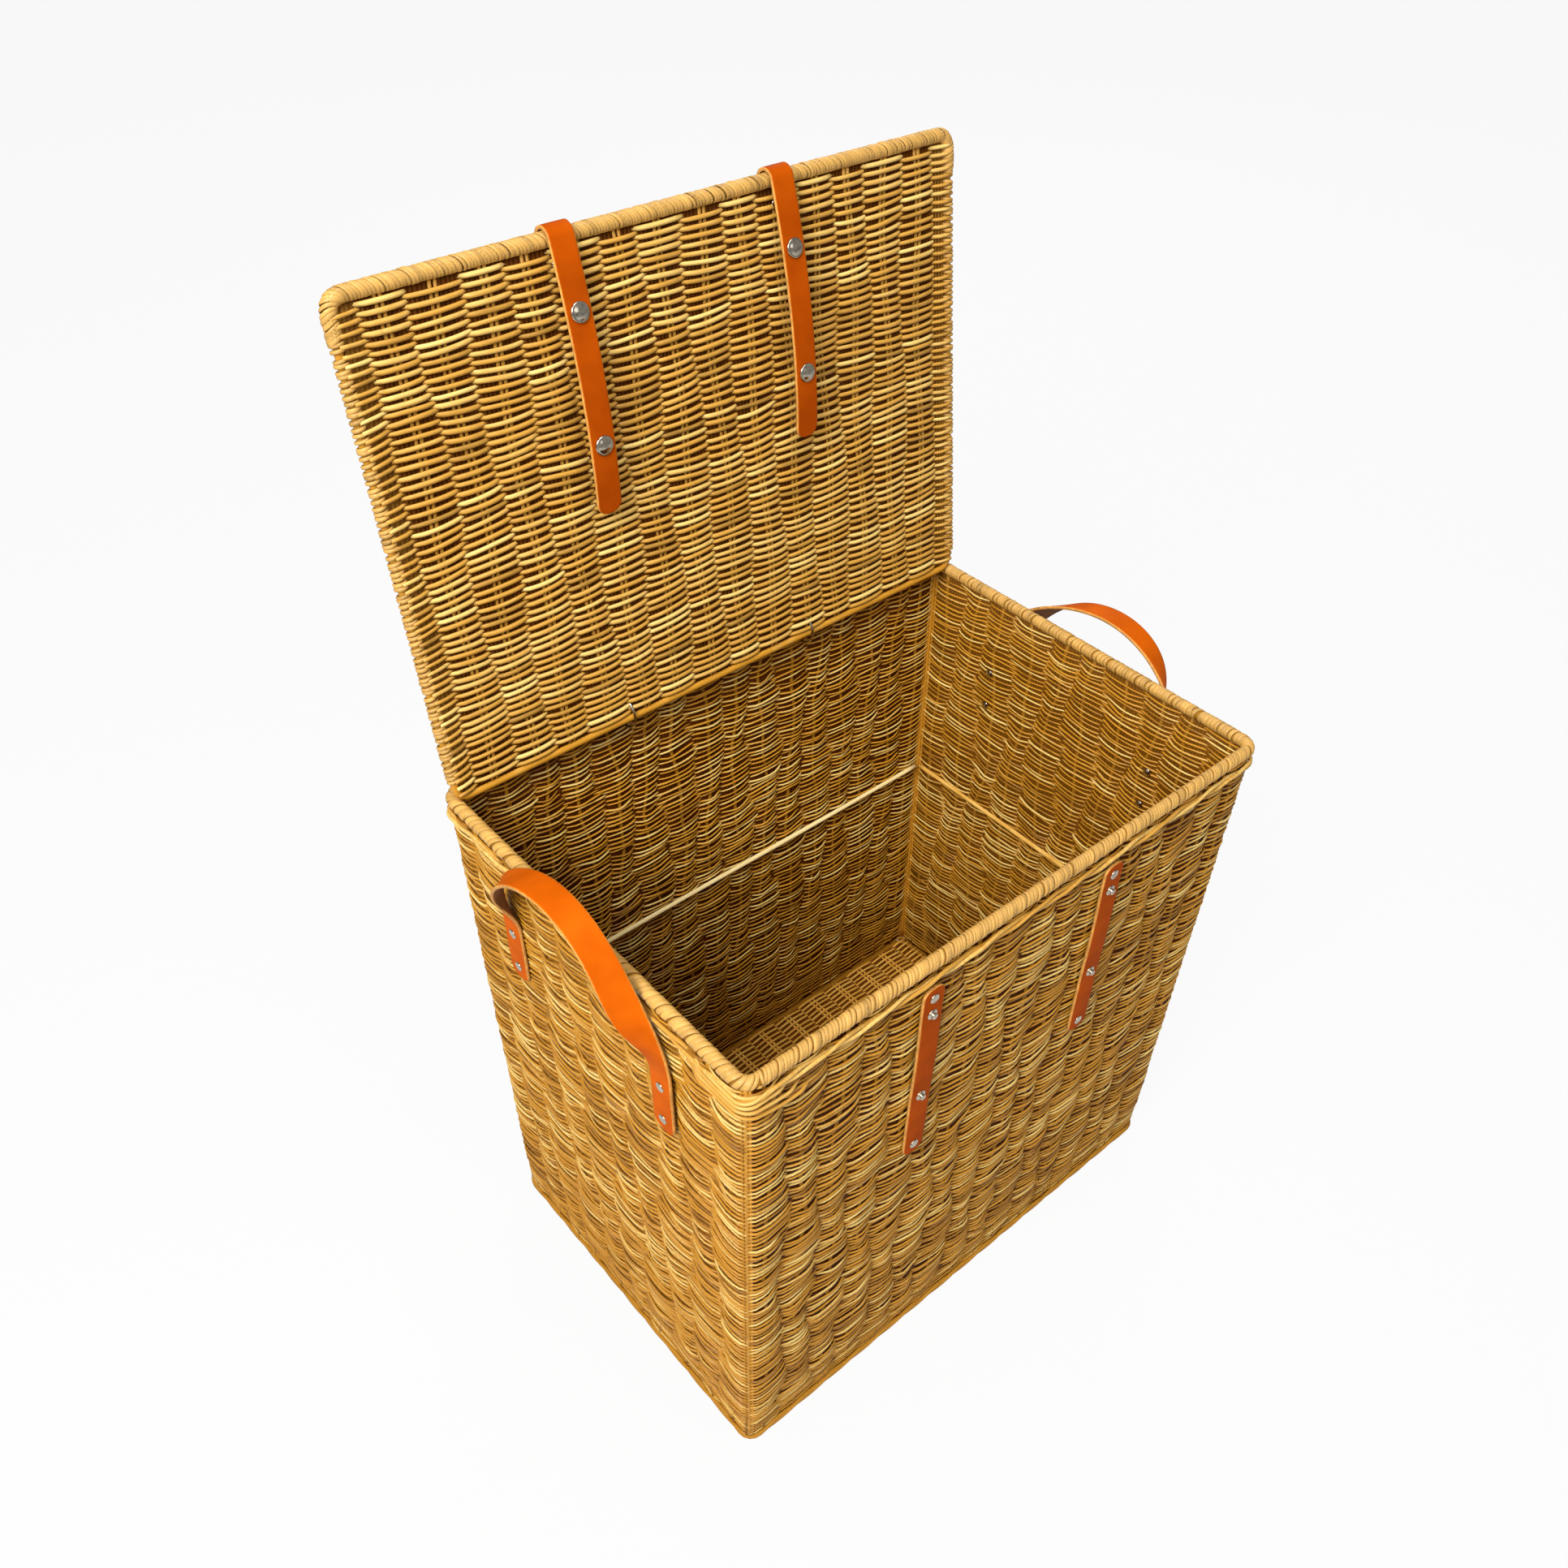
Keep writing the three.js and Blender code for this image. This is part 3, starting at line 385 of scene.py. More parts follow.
def colour(value):
    """A colour as four numbers, or the link it already is."""
    if isinstance(value, Socket):
        return value
    return tuple(value)[:3] + (1.0,)


def toned(value, shares):
    """A colour made lighter or darker, by one share or by one for each part."""
    return tuple(np.minimum(np.multiply(value, shares), 1.0).tolist())


# Materials

RATTAN_GLOSS = 0.36
RATTAN_SHEEN = 0.66
# The rails and the base are painted paler than the walls, partly as painted light for the shade
# inside the basket.
STRAW_PALE = (1.0, 0.80, 0.38)
BOTTOM_PALE = (0.98, 0.62, 0.14)
RUBBED_LEATHER = (0.90, 0.42, 0.06)
# How much darker the grain of the tabs and closing straps is painted, as shade on the front
TAB_SHADE_TONE = (0.70, 0.62, 0.6)


def rattan(name, main, pale, deep, gloss=RATTAN_GLOSS, sheen=RATTAN_SHEEN):
    """Peeled rattan: long fibres, tone that changes from strand to strand, painted shade in the
    crevices.
    """
    paint = Paint(bpy.data.materials.new(name))
    along, tone, unshaded = paint.parts(paint.strand())
    drift = paint.node(
        "ShaderNodeCombineXYZ", {}, {"X": along, "Y": tone * 9.0, "Z": unshaded})["Vector"]
    fibres = paint.noise(drift, (45.0, 20.0, 9.0), 3.0)
    patches = paint.noise(drift, (14.0, 6.0, 0.4), 2.0)
    flecks = paint.noise(drift, (260.0, 40.0, 5.0), 2.0)
    shade = tone * 0.72 + patches * 0.34 + (fibres - 0.5) * 0.42 - 0.03
    stops = [(0.08, deep), (0.36, main), (0.50, main), (0.84, pale)]
    base = paint.node("ShaderNodeValToRGB", {"stops": stops}, {"Fac": shade})["Color"]
    flecked = paint.mix(paint.step(flecks, 0.66, 0.78) * 0.45, base, toned(deep, 0.35))
    # Low values of the third mark get the deep colour as painted shade, and the coat is kept off
    # that shade.
    unshaded_mask = paint.step(unshaded, 0.12, 0.88)
    shaded_colour = paint.mix(unshaded_mask, toned(deep, (0.28, 0.15, 0.04)), flecked)
    rough = gloss + 0.15 + (fibres - 0.5) * 0.25 + patches * 0.08
    relief = paint.bump(fibres + flecks * 0.4, 0.35, 0.0004)
    return paint.finish(
        Base_Color=shaded_colour, Roughness=rough, Normal=relief, Specular_IOR_Level=0.06,
        Coat_Weight=unshaded_mask * unshaded_mask * sheen, Coat_Roughness=gloss, Coat_IOR=1.5)


def grain_leather(name, main):
    """Smooth dyed leather: fine pebbles, faint clouds, paler rubbed edges."""
    paint = Paint(bpy.data.materials.new(name))
    vector = paint.strand()
    across = paint.parts(vector)[1]
    pebbles = paint.cells(vector, 1500.0)
    clouds = paint.noise(vector, 30.0, 2.0)
    creases = paint.noise(vector, (420.0, 70.0, 1.0), 3.0)
    rub = paint.step(abs(across), 0.0086, 0.0099)
    base = paint.mix(
        paint.step(clouds, 0.30, 0.72), toned(main, 0.84), toned(main, (1.08, 1.14, 1.2)))
    worn = paint.mix(rub * 0.6 * paint.step(creases, 0.25, 0.6), base, RUBBED_LEATHER)
    relief = paint.bump(pebbles * 0.5 + paint.step(creases, 0.30, 0.55) * 0.25, 0.22, 0.0004)
    return paint.finish(
        Base_Color=worn, Roughness=0.46 + clouds * 0.10, Normal=relief,
        Specular_IOR_Level=0.012, Coat_Weight=0.008 + rub * 0.03, Coat_Roughness=0.3)


def flesh_leather(name, main):
    """The brushed back of the leather."""
    paint = Paint(bpy.data.materials.new(name))
    vector = paint.strand()
    nap = paint.noise(vector, 900.0, 4.0, 0.7)
    clouds = paint.noise(vector, 60.0, 3.0)
    base = paint.mix(
        paint.step(nap * 0.6 + clouds * 0.4, 0.35, 0.70), main, toned(main, 1.9))
    relief = paint.bump(nap, 0.6, 0.0006)
    return paint.finish(Base_Color=base, Roughness=0.78 + nap * 0.15, Normal=relief)


def edge_leather(name, main):
    """The cut edge: pale core between darker skins."""
    paint = Paint(bpy.data.materials.new(name))
    vector = paint.strand()
    layers = paint.noise(vector, (300.0, 300.0, 2600.0), 2.0)
    spots = paint.noise(vector, 160.0, 3.0)
    base = paint.mix(
        paint.step(layers * 0.5 + spots * 0.5, 0.36, 0.64), toned(main, 0.55), main)
    relief = paint.bump(layers, 0.4, 0.0004)
    return paint.finish(Base_Color=base, Roughness=0.55 + spots * 0.2, Normal=relief)


def nickel_plate(name, main):
    """Polished nickel with fine turning marks and small stains."""
    paint = Paint(bpy.data.materials.new(name))
    place = paint.node("ShaderNodeTexCoord")["Object"]
    stains = paint.noise(place, 420.0, 4.0)
    marks = paint.noise(place, (2200.0, 2200.0, 300.0), 2.0)
    base = paint.mix(paint.step(stains, 0.46, 0.70), main, toned(main, 0.62))
    relief = paint.bump(marks, 0.12, 0.0002)
    return paint.finish(
        Base_Color=base, Roughness=0.10 + stains * 0.14, Metallic=1.0, Normal=relief)


MATERIALS = {}


def material(name):
    """The named finish, made once."""
    if name not in MATERIALS:
        settings = bpy.context.scene.basket_colours
        shades = {key: tuple(getattr(settings, key)) for key in BasketColours.__annotations__}
        main = shades["rattan"]
        pale = shades["rattan_pale"]
        cane = shades["cane"]
        gold = tuple(0.80 * part + 0.16 * light for part, light in zip(main, pale))
        makers = {
            "rattan": (rattan, main, pale, shades["rattan_deep"]),
            "cane": (rattan, cane, toned(cane, 1.25), toned(cane, 0.55), 0.38),
            "straw": (rattan, shades["straw"], STRAW_PALE, main, 0.32, 0.12),
            "bottom": (rattan, shades["bottom"], BOTTOM_PALE, main, 0.40, 0.1),
            "gold": (rattan, gold, pale, toned(gold, 0.5)),
            "leather_grain": (grain_leather, shades["leather"]),
            # a darker copy of the grain, as painted shade
            "leather_tab": (grain_leather, toned(shades["leather"], TAB_SHADE_TONE)),
            "leather_flesh": (flesh_leather, shades["leather_flesh"]),
            "leather_edge": (edge_leather, shades["leather_edge"]),
            "nickel": (nickel_plate, shades["nickel"]),
        }
        maker, *values = makers[name]
        MATERIALS[name] = maker(name, *values)
    return MATERIALS[name]


# Mesh building

def unit(vectors):
    """Vectors of length one."""
    length = np.linalg.norm(vectors, axis=-1, keepdims=True)
    return vectors / np.maximum(length, 1e-12)


def ease(value, low, high):
    """Smooth rise from 0 at low to 1 at high."""
    share = np.clip((value - low) / (high - low), 0.0, 1.0)
    return share * share * (3 - 2 * share)


def blunted(wave, power):
    """A wave from -1 to 1 with blunter crests."""
    return np.sign(wave) * np.abs(wave) ** power


def ring_angles(count):
    """Even angles round a ring."""
    return np.arange(count) / count * TURN


def together(*measures):
    """Points from their separate measures."""
    return np.stack(np.broadcast_arrays(*measures), -1)


def lifted(flat, height):
    """Flat points set at a height."""
    height = np.broadcast_to(height, flat.shape[:-1])
    return np.concatenate([flat, height[..., None]], -1)


def closed_up(loop):
    """A loop's points with the first one again at the end."""
    return np.concatenate([loop, loop[:1]])


class Piece:
    """Gathers the rings of tubes, straps and turned parts into one mesh"""

    def __init__(self):
        self.points = []
        self.marks = []
        self.loops = []
        self.sizes = []
        self.kinds = []
        self.count = 0

    def rings(self, points, marks, kinds=None, closed=False):
        """Adds skins over rings of points, given as strand, step, place round the ring."""
        strands, steps, around = points.shape[:3]
        first = self.count + np.arange(strands)[:, None, None] * steps * around
        step = np.arange(steps if closed else steps - 1)[None, :, None]
        place = np.arange(around)[None, None, :]
        here = first + step * around
        ahead = first + ((step + 1) % steps) * around
        beside = (place + 1) % around
        faces = np.stack([here + place, here + beside, ahead + beside, ahead + place], -1)
        self.loops.append(faces.reshape(-1))
        total = faces.size // 4
        self.sizes.append(np.full(total, 4))
        if kinds is None:
            self.kinds.append(np.zeros(total, int))
        else:
            self.kinds.append(np.broadcast_to(np.asarray(kinds), faces.shape[:3]).reshape(-1))
        if not closed:
            ring = np.arange(around)[None, :]
            start = first[:, 0, :] + ring[:, ::-1]
            end = first[:, 0, :] + (steps - 1) * around + ring
            caps = np.concatenate([start, end])
            self.loops.append(caps.reshape(-1))
            self.sizes.append(np.full(len(caps), around))
            last = 0 if kinds is None else int(np.max(kinds))
            self.kinds.append(np.full(len(caps), last))
        self.points.append(points.reshape(-1, 3))
        self.marks.append(np.broadcast_to(marks, points.shape).reshape(-1, 3))
        self.count += points.size // 3

    def tubes(self, centres, up, across_radius, up_radius, sides, tone, closed=False, unshaded=1.0):
        """Adds round strands along rows of centres.

        up turns each ring, and the last value says how unshaded each point lies: 1 has no painted
        shade, lower values are painted darker as shade in the crevices.
        """
        centres = np.asarray(centres, float)
        if closed:
            tangent = np.roll(centres, -1, 1) - np.roll(centres, 1, 1)
        else:
            tangent = np.gradient(centres, axis=1)
        tangent = unit(tangent)
        up = np.broadcast_to(np.asarray(up, float), centres.shape)
        lift = unit(up - (up * tangent).sum(-1, keepdims=True) * tangent)
        side = np.cross(lift, tangent)
        angle = ring_angles(sides)
        shape = centres.shape[:2] + (1, 1)
        wide = np.broadcast_to(across_radius, centres.shape[:2]).reshape(shape)
        tall = np.broadcast_to(up_radius, centres.shape[:2]).reshape(shape)
        rings = (centres[:, :, None, :]
                 + wide * np.cos(angle)[None, None, :, None] * side[:, :, None, :]
                 + tall * np.sin(angle)[None, None, :, None] * lift[:, :, None, :])
        spans = np.linalg.norm(np.diff(centres, axis=1), axis=-1)
        along = np.concatenate([np.zeros((len(centres), 1)), np.cumsum(spans, 1)], 1)
        marks = np.empty(rings.shape)
        marks[..., 0] = along[:, :, None]
        marks[..., 1] = np.broadcast_to(tone, centres.shape[:2])[:, :, None]
        marks[..., 2] = np.broadcast_to(unshaded, rings.shape[:3])
        self.rings(rings, marks, closed=closed)

    def turned(self, profile, base, axis, sides=28):
        """Adds a part turned round an axis, from its radius and height at each step."""
        axis = unit(np.asarray(axis, float))
        helper = UP if abs(axis[2]) < 0.9 else np.array([1.0, 0.0, 0.0])
        side = unit(np.cross(helper, axis))
        front = np.cross(axis, side)
        angle = ring_angles(sides)
        circle = np.cos(angle)[:, None] * side + np.sin(angle)[:, None] * front
        profile = np.asarray(profile, float)
        rings = (np.asarray(base, float) + profile[:, 1, None, None] * axis
                 + profile[:, 0, None, None] * circle)
        self.rings(rings[None], np.zeros(3))

    def build(self, name, body, slot, nodes, finishes):
        """Makes the object, seats it on its body and lets it stand for its solids."""
        mesh = bpy.data.meshes.new(name)
        points = np.concatenate(self.points)
        loops = np.concatenate(self.loops)
        sizes = np.concatenate(self.sizes)
        mesh.vertices.add(len(points))
        mesh.vertices.foreach_set("co", points.astype(np.float32).reshape(-1))
        mesh.loops.add(len(loops))
        mesh.loops.foreach_set("vertex_index", loops.astype(np.int32))
        mesh.polygons.add(len(sizes))
        starts = np.concatenate([[0], np.cumsum(sizes)[:-1]])
        mesh.polygons.foreach_set("loop_start", starts.astype(np.int32))
        mesh.polygons.foreach_set("material_index", np.concatenate(self.kinds).astype(np.int32))
        mesh.update(calc_edges=True)
        marks = mesh.attributes.new("strand", "FLOAT_VECTOR", "POINT")
        marks.data.foreach_set("vector", np.concatenate(self.marks).astype(np.float32).reshape(-1))
        mesh.polygons.foreach_set("use_smooth", np.ones(len(sizes), bool))
        mesh.validate()
        for finish in finishes:
            mesh.materials.append(material(finish))
        piece = bpy.data.objects.new(name, mesh)
        bpy.context.scene.collection.objects.link(piece)
        if body:
            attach(piece, body)
        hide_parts(*nodes)
        return piece


# How the painted shade of the strands is spread: its middle value, and how far a strand's swing
# moves it.
UNSHADED_MIDDLE = 0.60
SHADE_SWING = 0.56


def unshaded_share(swing, sides, above=0.0):
    """How unshaded each point round a strand lies, as painted shade: near 1 on the outside, near 0
    behind a stake; the third value paints the upper side lighter and the underside darker.
    """
    angle = ring_angles(sides)
    outward = SHADE_SWING * swing[..., None] * np.cos(angle)
    return np.clip(UNSHADED_MIDDLE - outward + above * np.sin(angle), 0, 1)


# Shapes of the basket

def wall_curve(side, share, height, swell):
    """Points round one wall from corner to corner, at a height and pushed out by swell."""
    along, out, axis = SIDES[side]
    rise = height / RIM_HEIGHT
    run = FOOT_HALF[axis] + (MOUTH_HALF[axis] - FOOT_HALF[axis]) * rise
    reach = FOOT_HALF[1 - axis] + (MOUTH_HALF[1 - axis] - FOOT_HALF[1 - axis]) * rise
    straight = run - WALL_CORNER
    step = (2 * share - 1) * (straight + WALL_CORNER * math.pi / 4)
    turn = np.sign(step) * np.maximum(np.abs(step) - straight, 0.0) / WALL_CORNER
    forward = np.clip(step, -straight, straight) + (WALL_CORNER + swell) * np.sin(turn)
    outward = reach - WALL_CORNER + (WALL_CORNER + swell) * np.cos(turn)
    forward, outward, height = np.broadcast_arrays(forward, outward, height)
    return lifted(forward[..., None] * along + outward[..., None] * out, height)


def wall_place(side, along, up, out):
    """A point on a wall, measured along it, up its slope and out from its middle."""
    way, away, axis = SIDES[side]
    lean = math.atan((MOUTH_HALF[1 - axis] - FOOT_HALF[1 - axis]) / RIM_HEIGHT)
    far = FOOT_HALF[1 - axis] + up * math.sin(lean) + out * math.cos(lean)
    height = up * math.cos(lean) - out * math.sin(lean)
    along, far, height = np.broadcast_arrays(along, far, height)
    return lifted(along[..., None] * way + far[..., None] * away, height)


def wall_way(side, along, up, out):
    """A direction on a wall."""
    return wall_place(side, along, up, out) - wall_place(side, 0.0, 0.0, 0.0)


def wall_out(side):
    """The direction straight out of a wall."""
    return wall_way(side, 0.0, 0.0, 1.0)


def half_at(height):
    """Half the basket's width and depth at a height."""
    return FOOT_HALF + (MOUTH_HALF - FOOT_HALF) * height / RIM_HEIGHT


def lid_place(across, forward, inward):
    """A point on the lid, measured across it, from its hinge to its front rim and inward."""
    depth = LID_PIVOT[1] + forward * math.sin(LID_LEAN) - inward * math.cos(LID_LEAN)
    height = LID_PIVOT[2] + forward * math.cos(LID_LEAN) + inward * math.sin(LID_LEAN)
    return together(across, depth, height)


def lid_way(across, forward, inward):
    """A direction on the lid."""
    return lid_place(across, forward, inward) - lid_place(0.0, 0.0, 0.0)


LID_INWARD = lid_way(0.0, 0.0, 1.0)


def rounded_loop(half, corner, step):
    """A flat loop with rounded corners and the direction out of it, at even steps."""
    run = half - corner
    parts = []
    for along, out, axis in SIDES.values():
        length = 2 * run[axis]
        count = max(2, int(round(length / step)))
        line = np.linspace(-run[axis], run[axis], count, endpoint=False)
        flat = line[:, None] * along + (run[1 - axis] + corner) * out
        parts.append((flat, np.broadcast_to(out, flat.shape)))
        turns = max(3, int(round(corner * math.pi / 2 / step)))
        angle = np.linspace(0, math.pi / 2, turns, endpoint=False)
        away = np.cos(angle)[:, None] * out + np.sin(angle)[:, None] * along
        parts.append((run[axis] * along + run[1 - axis] * out + corner * away, away))
    points = np.concatenate([part[0] for part in parts])
    outs = np.concatenate([part[1] for part in parts])
    return points, outs


def resample(values, lengths, places):
    """Values along a path, read off at given lengths."""
    return np.stack([np.interp(places, lengths, measure) for measure in values.T], -1)


def lengths_along(path):
    """Length from the start at each point of a path."""
    return np.concatenate([[0.0], np.cumsum(np.linalg.norm(np.diff(path, axis=0), axis=1))])


# The section of a flat strand of cane: how far out and across, as shares of its half sizes

CANE_SECTION = np.array([
    [-0.2, 1.0], [-0.8, 0.5], [-0.8, -0.5], [-0.2, -1.0], [0.62, -0.72], [1.0, 0.0], [0.62, 0.72]])


def wind(piece, path, out, up, pitch, reach, cover, half_thick, steps, rng, slip, tilt=0.0):
    """Winds one flat strand round a path, turn beside turn, with hand-made wander."""
    lengths = lengths_along(path)
    pitch = np.broadcast_to(pitch, lengths.shape)
    gone = np.concatenate([[0.0], np.cumsum(np.diff(lengths) / (0.5 * (pitch[1:] + pitch[:-1])))])
    turns = max(2, int(gone[-1]))
    count = turns * steps + 1
    order = np.arange(count) / steps
    angle = order * TURN
    knots = np.arange(turns + 2)
    wander = np.interp(order, knots, rng.normal(0, slip, turns + 2))
    fat = 1 + np.interp(order, knots, rng.normal(0, 0.09, turns + 2))
    tone = np.interp(order, knots, np.clip(rng.normal(0.5, 0.26, turns + 2), 0, 1))
    places = np.interp(order * gone[-1] / turns + wander, gone, lengths) + tilt * np.sin(angle - 0.8)
    places = np.clip(places, 0, lengths[-1])
    outs = unit(resample(out, lengths, places))
    ups = unit(resample(up, lengths, places))
    radial = np.cos(angle)[:, None] * outs + np.sin(angle)[:, None] * ups
    lump = 1 + np.interp(order, knots, rng.normal(0, 0.03, turns + 2))
    centres = resample(path, lengths, places) + (reach * lump)[:, None] * radial
    tangent = unit(np.gradient(centres, axis=0))
    radial = unit(radial - (radial * tangent).sum(-1, keepdims=True) * tangent)
    width = np.cross(tangent, radial)
    half_width = cover * np.interp(places, lengths, pitch) * fat
    points = (centres[:, None, :]
              + CANE_SECTION[None, :, 0, None] * half_thick * radial[:, None, :]
              + CANE_SECTION[None, :, 1, None] * half_width[:, None, None] * width[:, None, :])
    marks = np.empty(points.shape)
    marks[..., 0] = (angle * reach)[:, None]
    marks[..., 1] = tone[:, None]
    # The edges and inner side of each turn get painted shade, so dark lines show between turns.
    marks[..., 2] = np.clip(0.50 + 0.5 * CANE_SECTION[:, 0], 0, 1)[None, :]
    piece.rings(points[None], marks[None])


# Leather straps: rounded tips, bevelled edges, a slight crown, and fine steps near a tip

STRAP_TIP = 8.0 * MM
STRAP_TIP_WIDTH = 0.24
STRAP_BEVEL = 0.55 * MM
STRAP_CROWN = 0.10 * MM
PLAIN_WIDTH = 20 * MM
TIP_STEPS = np.linspace(0, 7 * MM, 9)
TIP_END = 9 * MM


def strap(piece, path, normal, width, thickness):
    """Adds a flat leather strap along a path, grain side along normal, with eased tips."""
    lengths = lengths_along(path)
    tangent = unit(np.gradient(path, axis=0))
    normal = unit(normal - (normal * tangent).sum(-1, keepdims=True) * tangent)
    side = np.cross(normal, tangent)
    half = np.full(len(path), width / 2)
    for gone in (lengths, lengths[-1] - lengths):
        left = np.clip((STRAP_TIP - gone) / STRAP_TIP, 0, 1)
        rounding = np.sqrt(np.maximum(1 - left ** 2, 0))
        half = half * (STRAP_TIP_WIDTH + (1 - STRAP_TIP_WIDTH) * rounding)
    flat = np.array([-1.0, -0.82, -0.45, 0.0, 0.45, 0.82, 1.0])
    across = np.concatenate([flat, [1.0], flat[::-1], [-1.0]])
    edge = [STRAP_BEVEL, 0.0, STRAP_BEVEL]
    soft = np.concatenate([edge[:1], np.zeros(5), edge, np.zeros(5), edge[:2]])
    deep = np.concatenate([np.full(7, 0.5), [0.0], np.full(7, -0.5), [0.0]])
    kinds = np.array([0] * 6 + [2] * 2 + [1] * 6 + [2] * 2)
    crown = STRAP_CROWN * (1 - across ** 2) * np.sign(deep)
    reach = across[None, :] * half[:, None] - np.sign(across)[None, :] * soft[None, :]
    lift = deep * thickness + crown
    points = (path[:, None, :] - reach[..., None] * side[:, None, :]
              + lift[None, :, None] * normal[:, None, :])
    marks = np.empty(points.shape)
    marks[..., 0] = lengths[:, None]
    marks[..., 1] = reach * (PLAIN_WIDTH / width)
    marks[..., 2] = lift[None, :]
    piece.rings(points[None, :, ::-1], marks[None, :, ::-1], np.roll(kinds[::-1], -1))


# How strongly painted shade darkens the crevices of each wall, set per wall to suit the light on it:
# 1 is the plain amount

WALL_SHADE_DEPTHS = {"front": 1.1, "right": 0.75, "back": 1.0, "left": 0.55}

# Rows of the walls: one set of wanderings shared by all four so that they meet at the corners

WALL_LOW = 9.4 * MM
WALL_HIGH = 470.6 * MM
WALL_CALM = 30 * MM
LENGTHS_IN_ROW = 16

# Waves of a row of its own, in millimetres and waves round the basket, and those that
# neighbouring rows share, which also change with height

LONE_WAVES = ((0.24, 5), (0.20, 13), (0.16, 23), (0.14, 32))
SHARED_WAVES = ((2.2, 3, 0.045), (1.5, 8, -0.031), (0.8, 14, 0.019), (0.4, 27, -0.012))
LONE_SHARE = 0.8

# Rows lie flatter and darker towards the foot, up to these heights

FLAT_FOOT = 48 * MM
FLAT_SHARE = 0.25
DARK_FOOT = 260 * MM
FOOT_DARKENING = 0.14
ROW_STEPS = 6


class WallRows:
    """The height, tone and swing of every wall row at any stake of the whole way round"""

    def __init__(self, weave):
        rng = np.random.default_rng(ROWS_SEED)
        self.loop = 2 * (weave.long_gaps + weave.short_gaps)
        half = self.loop // 2
        self.corners = (0, weave.long_gaps, half, half + weave.long_gaps, self.loop)
        self.count = int((WALL_HIGH - WALL_LOW) / weave.wall_row_pitch)
        self.level = np.linspace(WALL_LOW, WALL_HIGH, self.count)[:, None]
        self.wild = weave.unevenness
        self.phase = rng.uniform(0, TURN, (self.count, 4))
        self.lengths = rng.uniform(7, 15, (self.count, 1))
        self.offset = rng.uniform(0, 15, (self.count, 1))
        self.tones = np.clip(rng.normal(0.5, 0.28, (self.count, LENGTHS_IN_ROW)), 0.02, 1)
        self.fats = rng.uniform(0.78, 1.22, (self.count, LENGTHS_IN_ROW))
        self.swings = rng.uniform(0.66, 1.10, (self.count, self.loop))
        self.shades = rng.normal(0, 0.22, (self.count, self.loop))
        self.sags = rng.normal(0, 0.75, (self.count, self.loop)) * MM
        self.slides = rng.normal(0, 0.05, (self.count, self.loop))
        self.sheet = rng.uniform(0, TURN, 8)

    def at_stake(self, values, index):
        """Values given for each row and stake, held level round each stake."""
        nearest = np.floor(index).astype(int) % self.loop
        return values[np.arange(self.count)[:, None], nearest]

    def pieces_of(self, index):
        """Which length of strand a row is on at each stake."""
        order = np.floor((index + self.offset) / self.lengths).astype(int) % LENGTHS_IN_ROW
        rows = np.broadcast_to(np.arange(self.count)[:, None], order.shape)
        return rows, order

    def from_corner(self, index):
        """How many gaps away the nearest corner is."""
        return np.min([np.abs(index - corner) for corner in self.corners], 0)

    def lean(self, index, height):
        """How far a stake strays along the wall, as a share of a gap."""
        slow = 0.13 * np.sin(TURN * height / 0.23 + index * 2.1)
        quick = 0.07 * np.sin(TURN * height / 0.081 + index * 4.7)
        return (slow + quick) * self.wild * ease(self.from_corner(index), 0.0, 1.0)

    def slide(self, index):
        """How far each row's own crossings stray, as a share of a gap."""
        start = np.floor(index).astype(int)
        row = np.arange(self.count)[:, None]
        first = self.slides[row, start % self.loop]
        last = self.slides[row, (start + 1) % self.loop]
        stray = first + (last - first) * (index - start)
        return stray * self.wild * ease(self.from_corner(index), 0.0, 1.0)

    def height(self, index):
        """Height of each row at each stake, with the wander of hand weaving."""
        turn = TURN * index / self.loop
        lone = sum(size * np.sin(waves * turn + phase[:, None])
                   for (size, waves), phase in zip(LONE_WAVES, self.phase.T))
        shared = sum(size * np.sin(waves * turn + self.level / rise + phase)
                     for (size, waves, rise), phase in zip(SHARED_WAVES, self.sheet))
        calm = ease(self.level, WALL_LOW, WALL_LOW + WALL_CALM)
        calm = calm * (1 - ease(self.level, WALL_HIGH - WALL_CALM, WALL_HIGH))
        return self.level + (lone * LONE_SHARE * calm + shared * calm) * MM * self.wild


# Leather presses the weave flat this far to its sides, and past its ends

PRESS_BESIDE = (13 * MM, 22 * MM)
PRESS_PAST = (4 * MM, 12 * MM)


def pressed(side, share, height):
    """How far leather presses the weave flat, from 0 to 1, at places on a wall."""
    along = (2 * share - 1) * MOUTH_HALF[SIDES[side][2]]
    flat = np.zeros(np.broadcast_shapes(along.shape, height.shape))
    patches = []
    if side == "front":
        patches = [(place, *TAB_ENDS) for place in STRAP_PLACES.values()]
    if side in ("left", "right"):
        patches = [(place, HANDLE_TAIL, RIM_HEIGHT) for place in (-HANDLE_HALF, HANDLE_HALF)]
    for place, low, high in patches:
        beside = 1 - ease(np.abs(along - place), *PRESS_BESIDE)
        above = ease(height, low - PRESS_PAST[1], low - PRESS_PAST[0])
        below = 1 - ease(height, high + PRESS_PAST[0], high + PRESS_PAST[1])
        flat = np.maximum(flat, beside * above * below)
    return flat


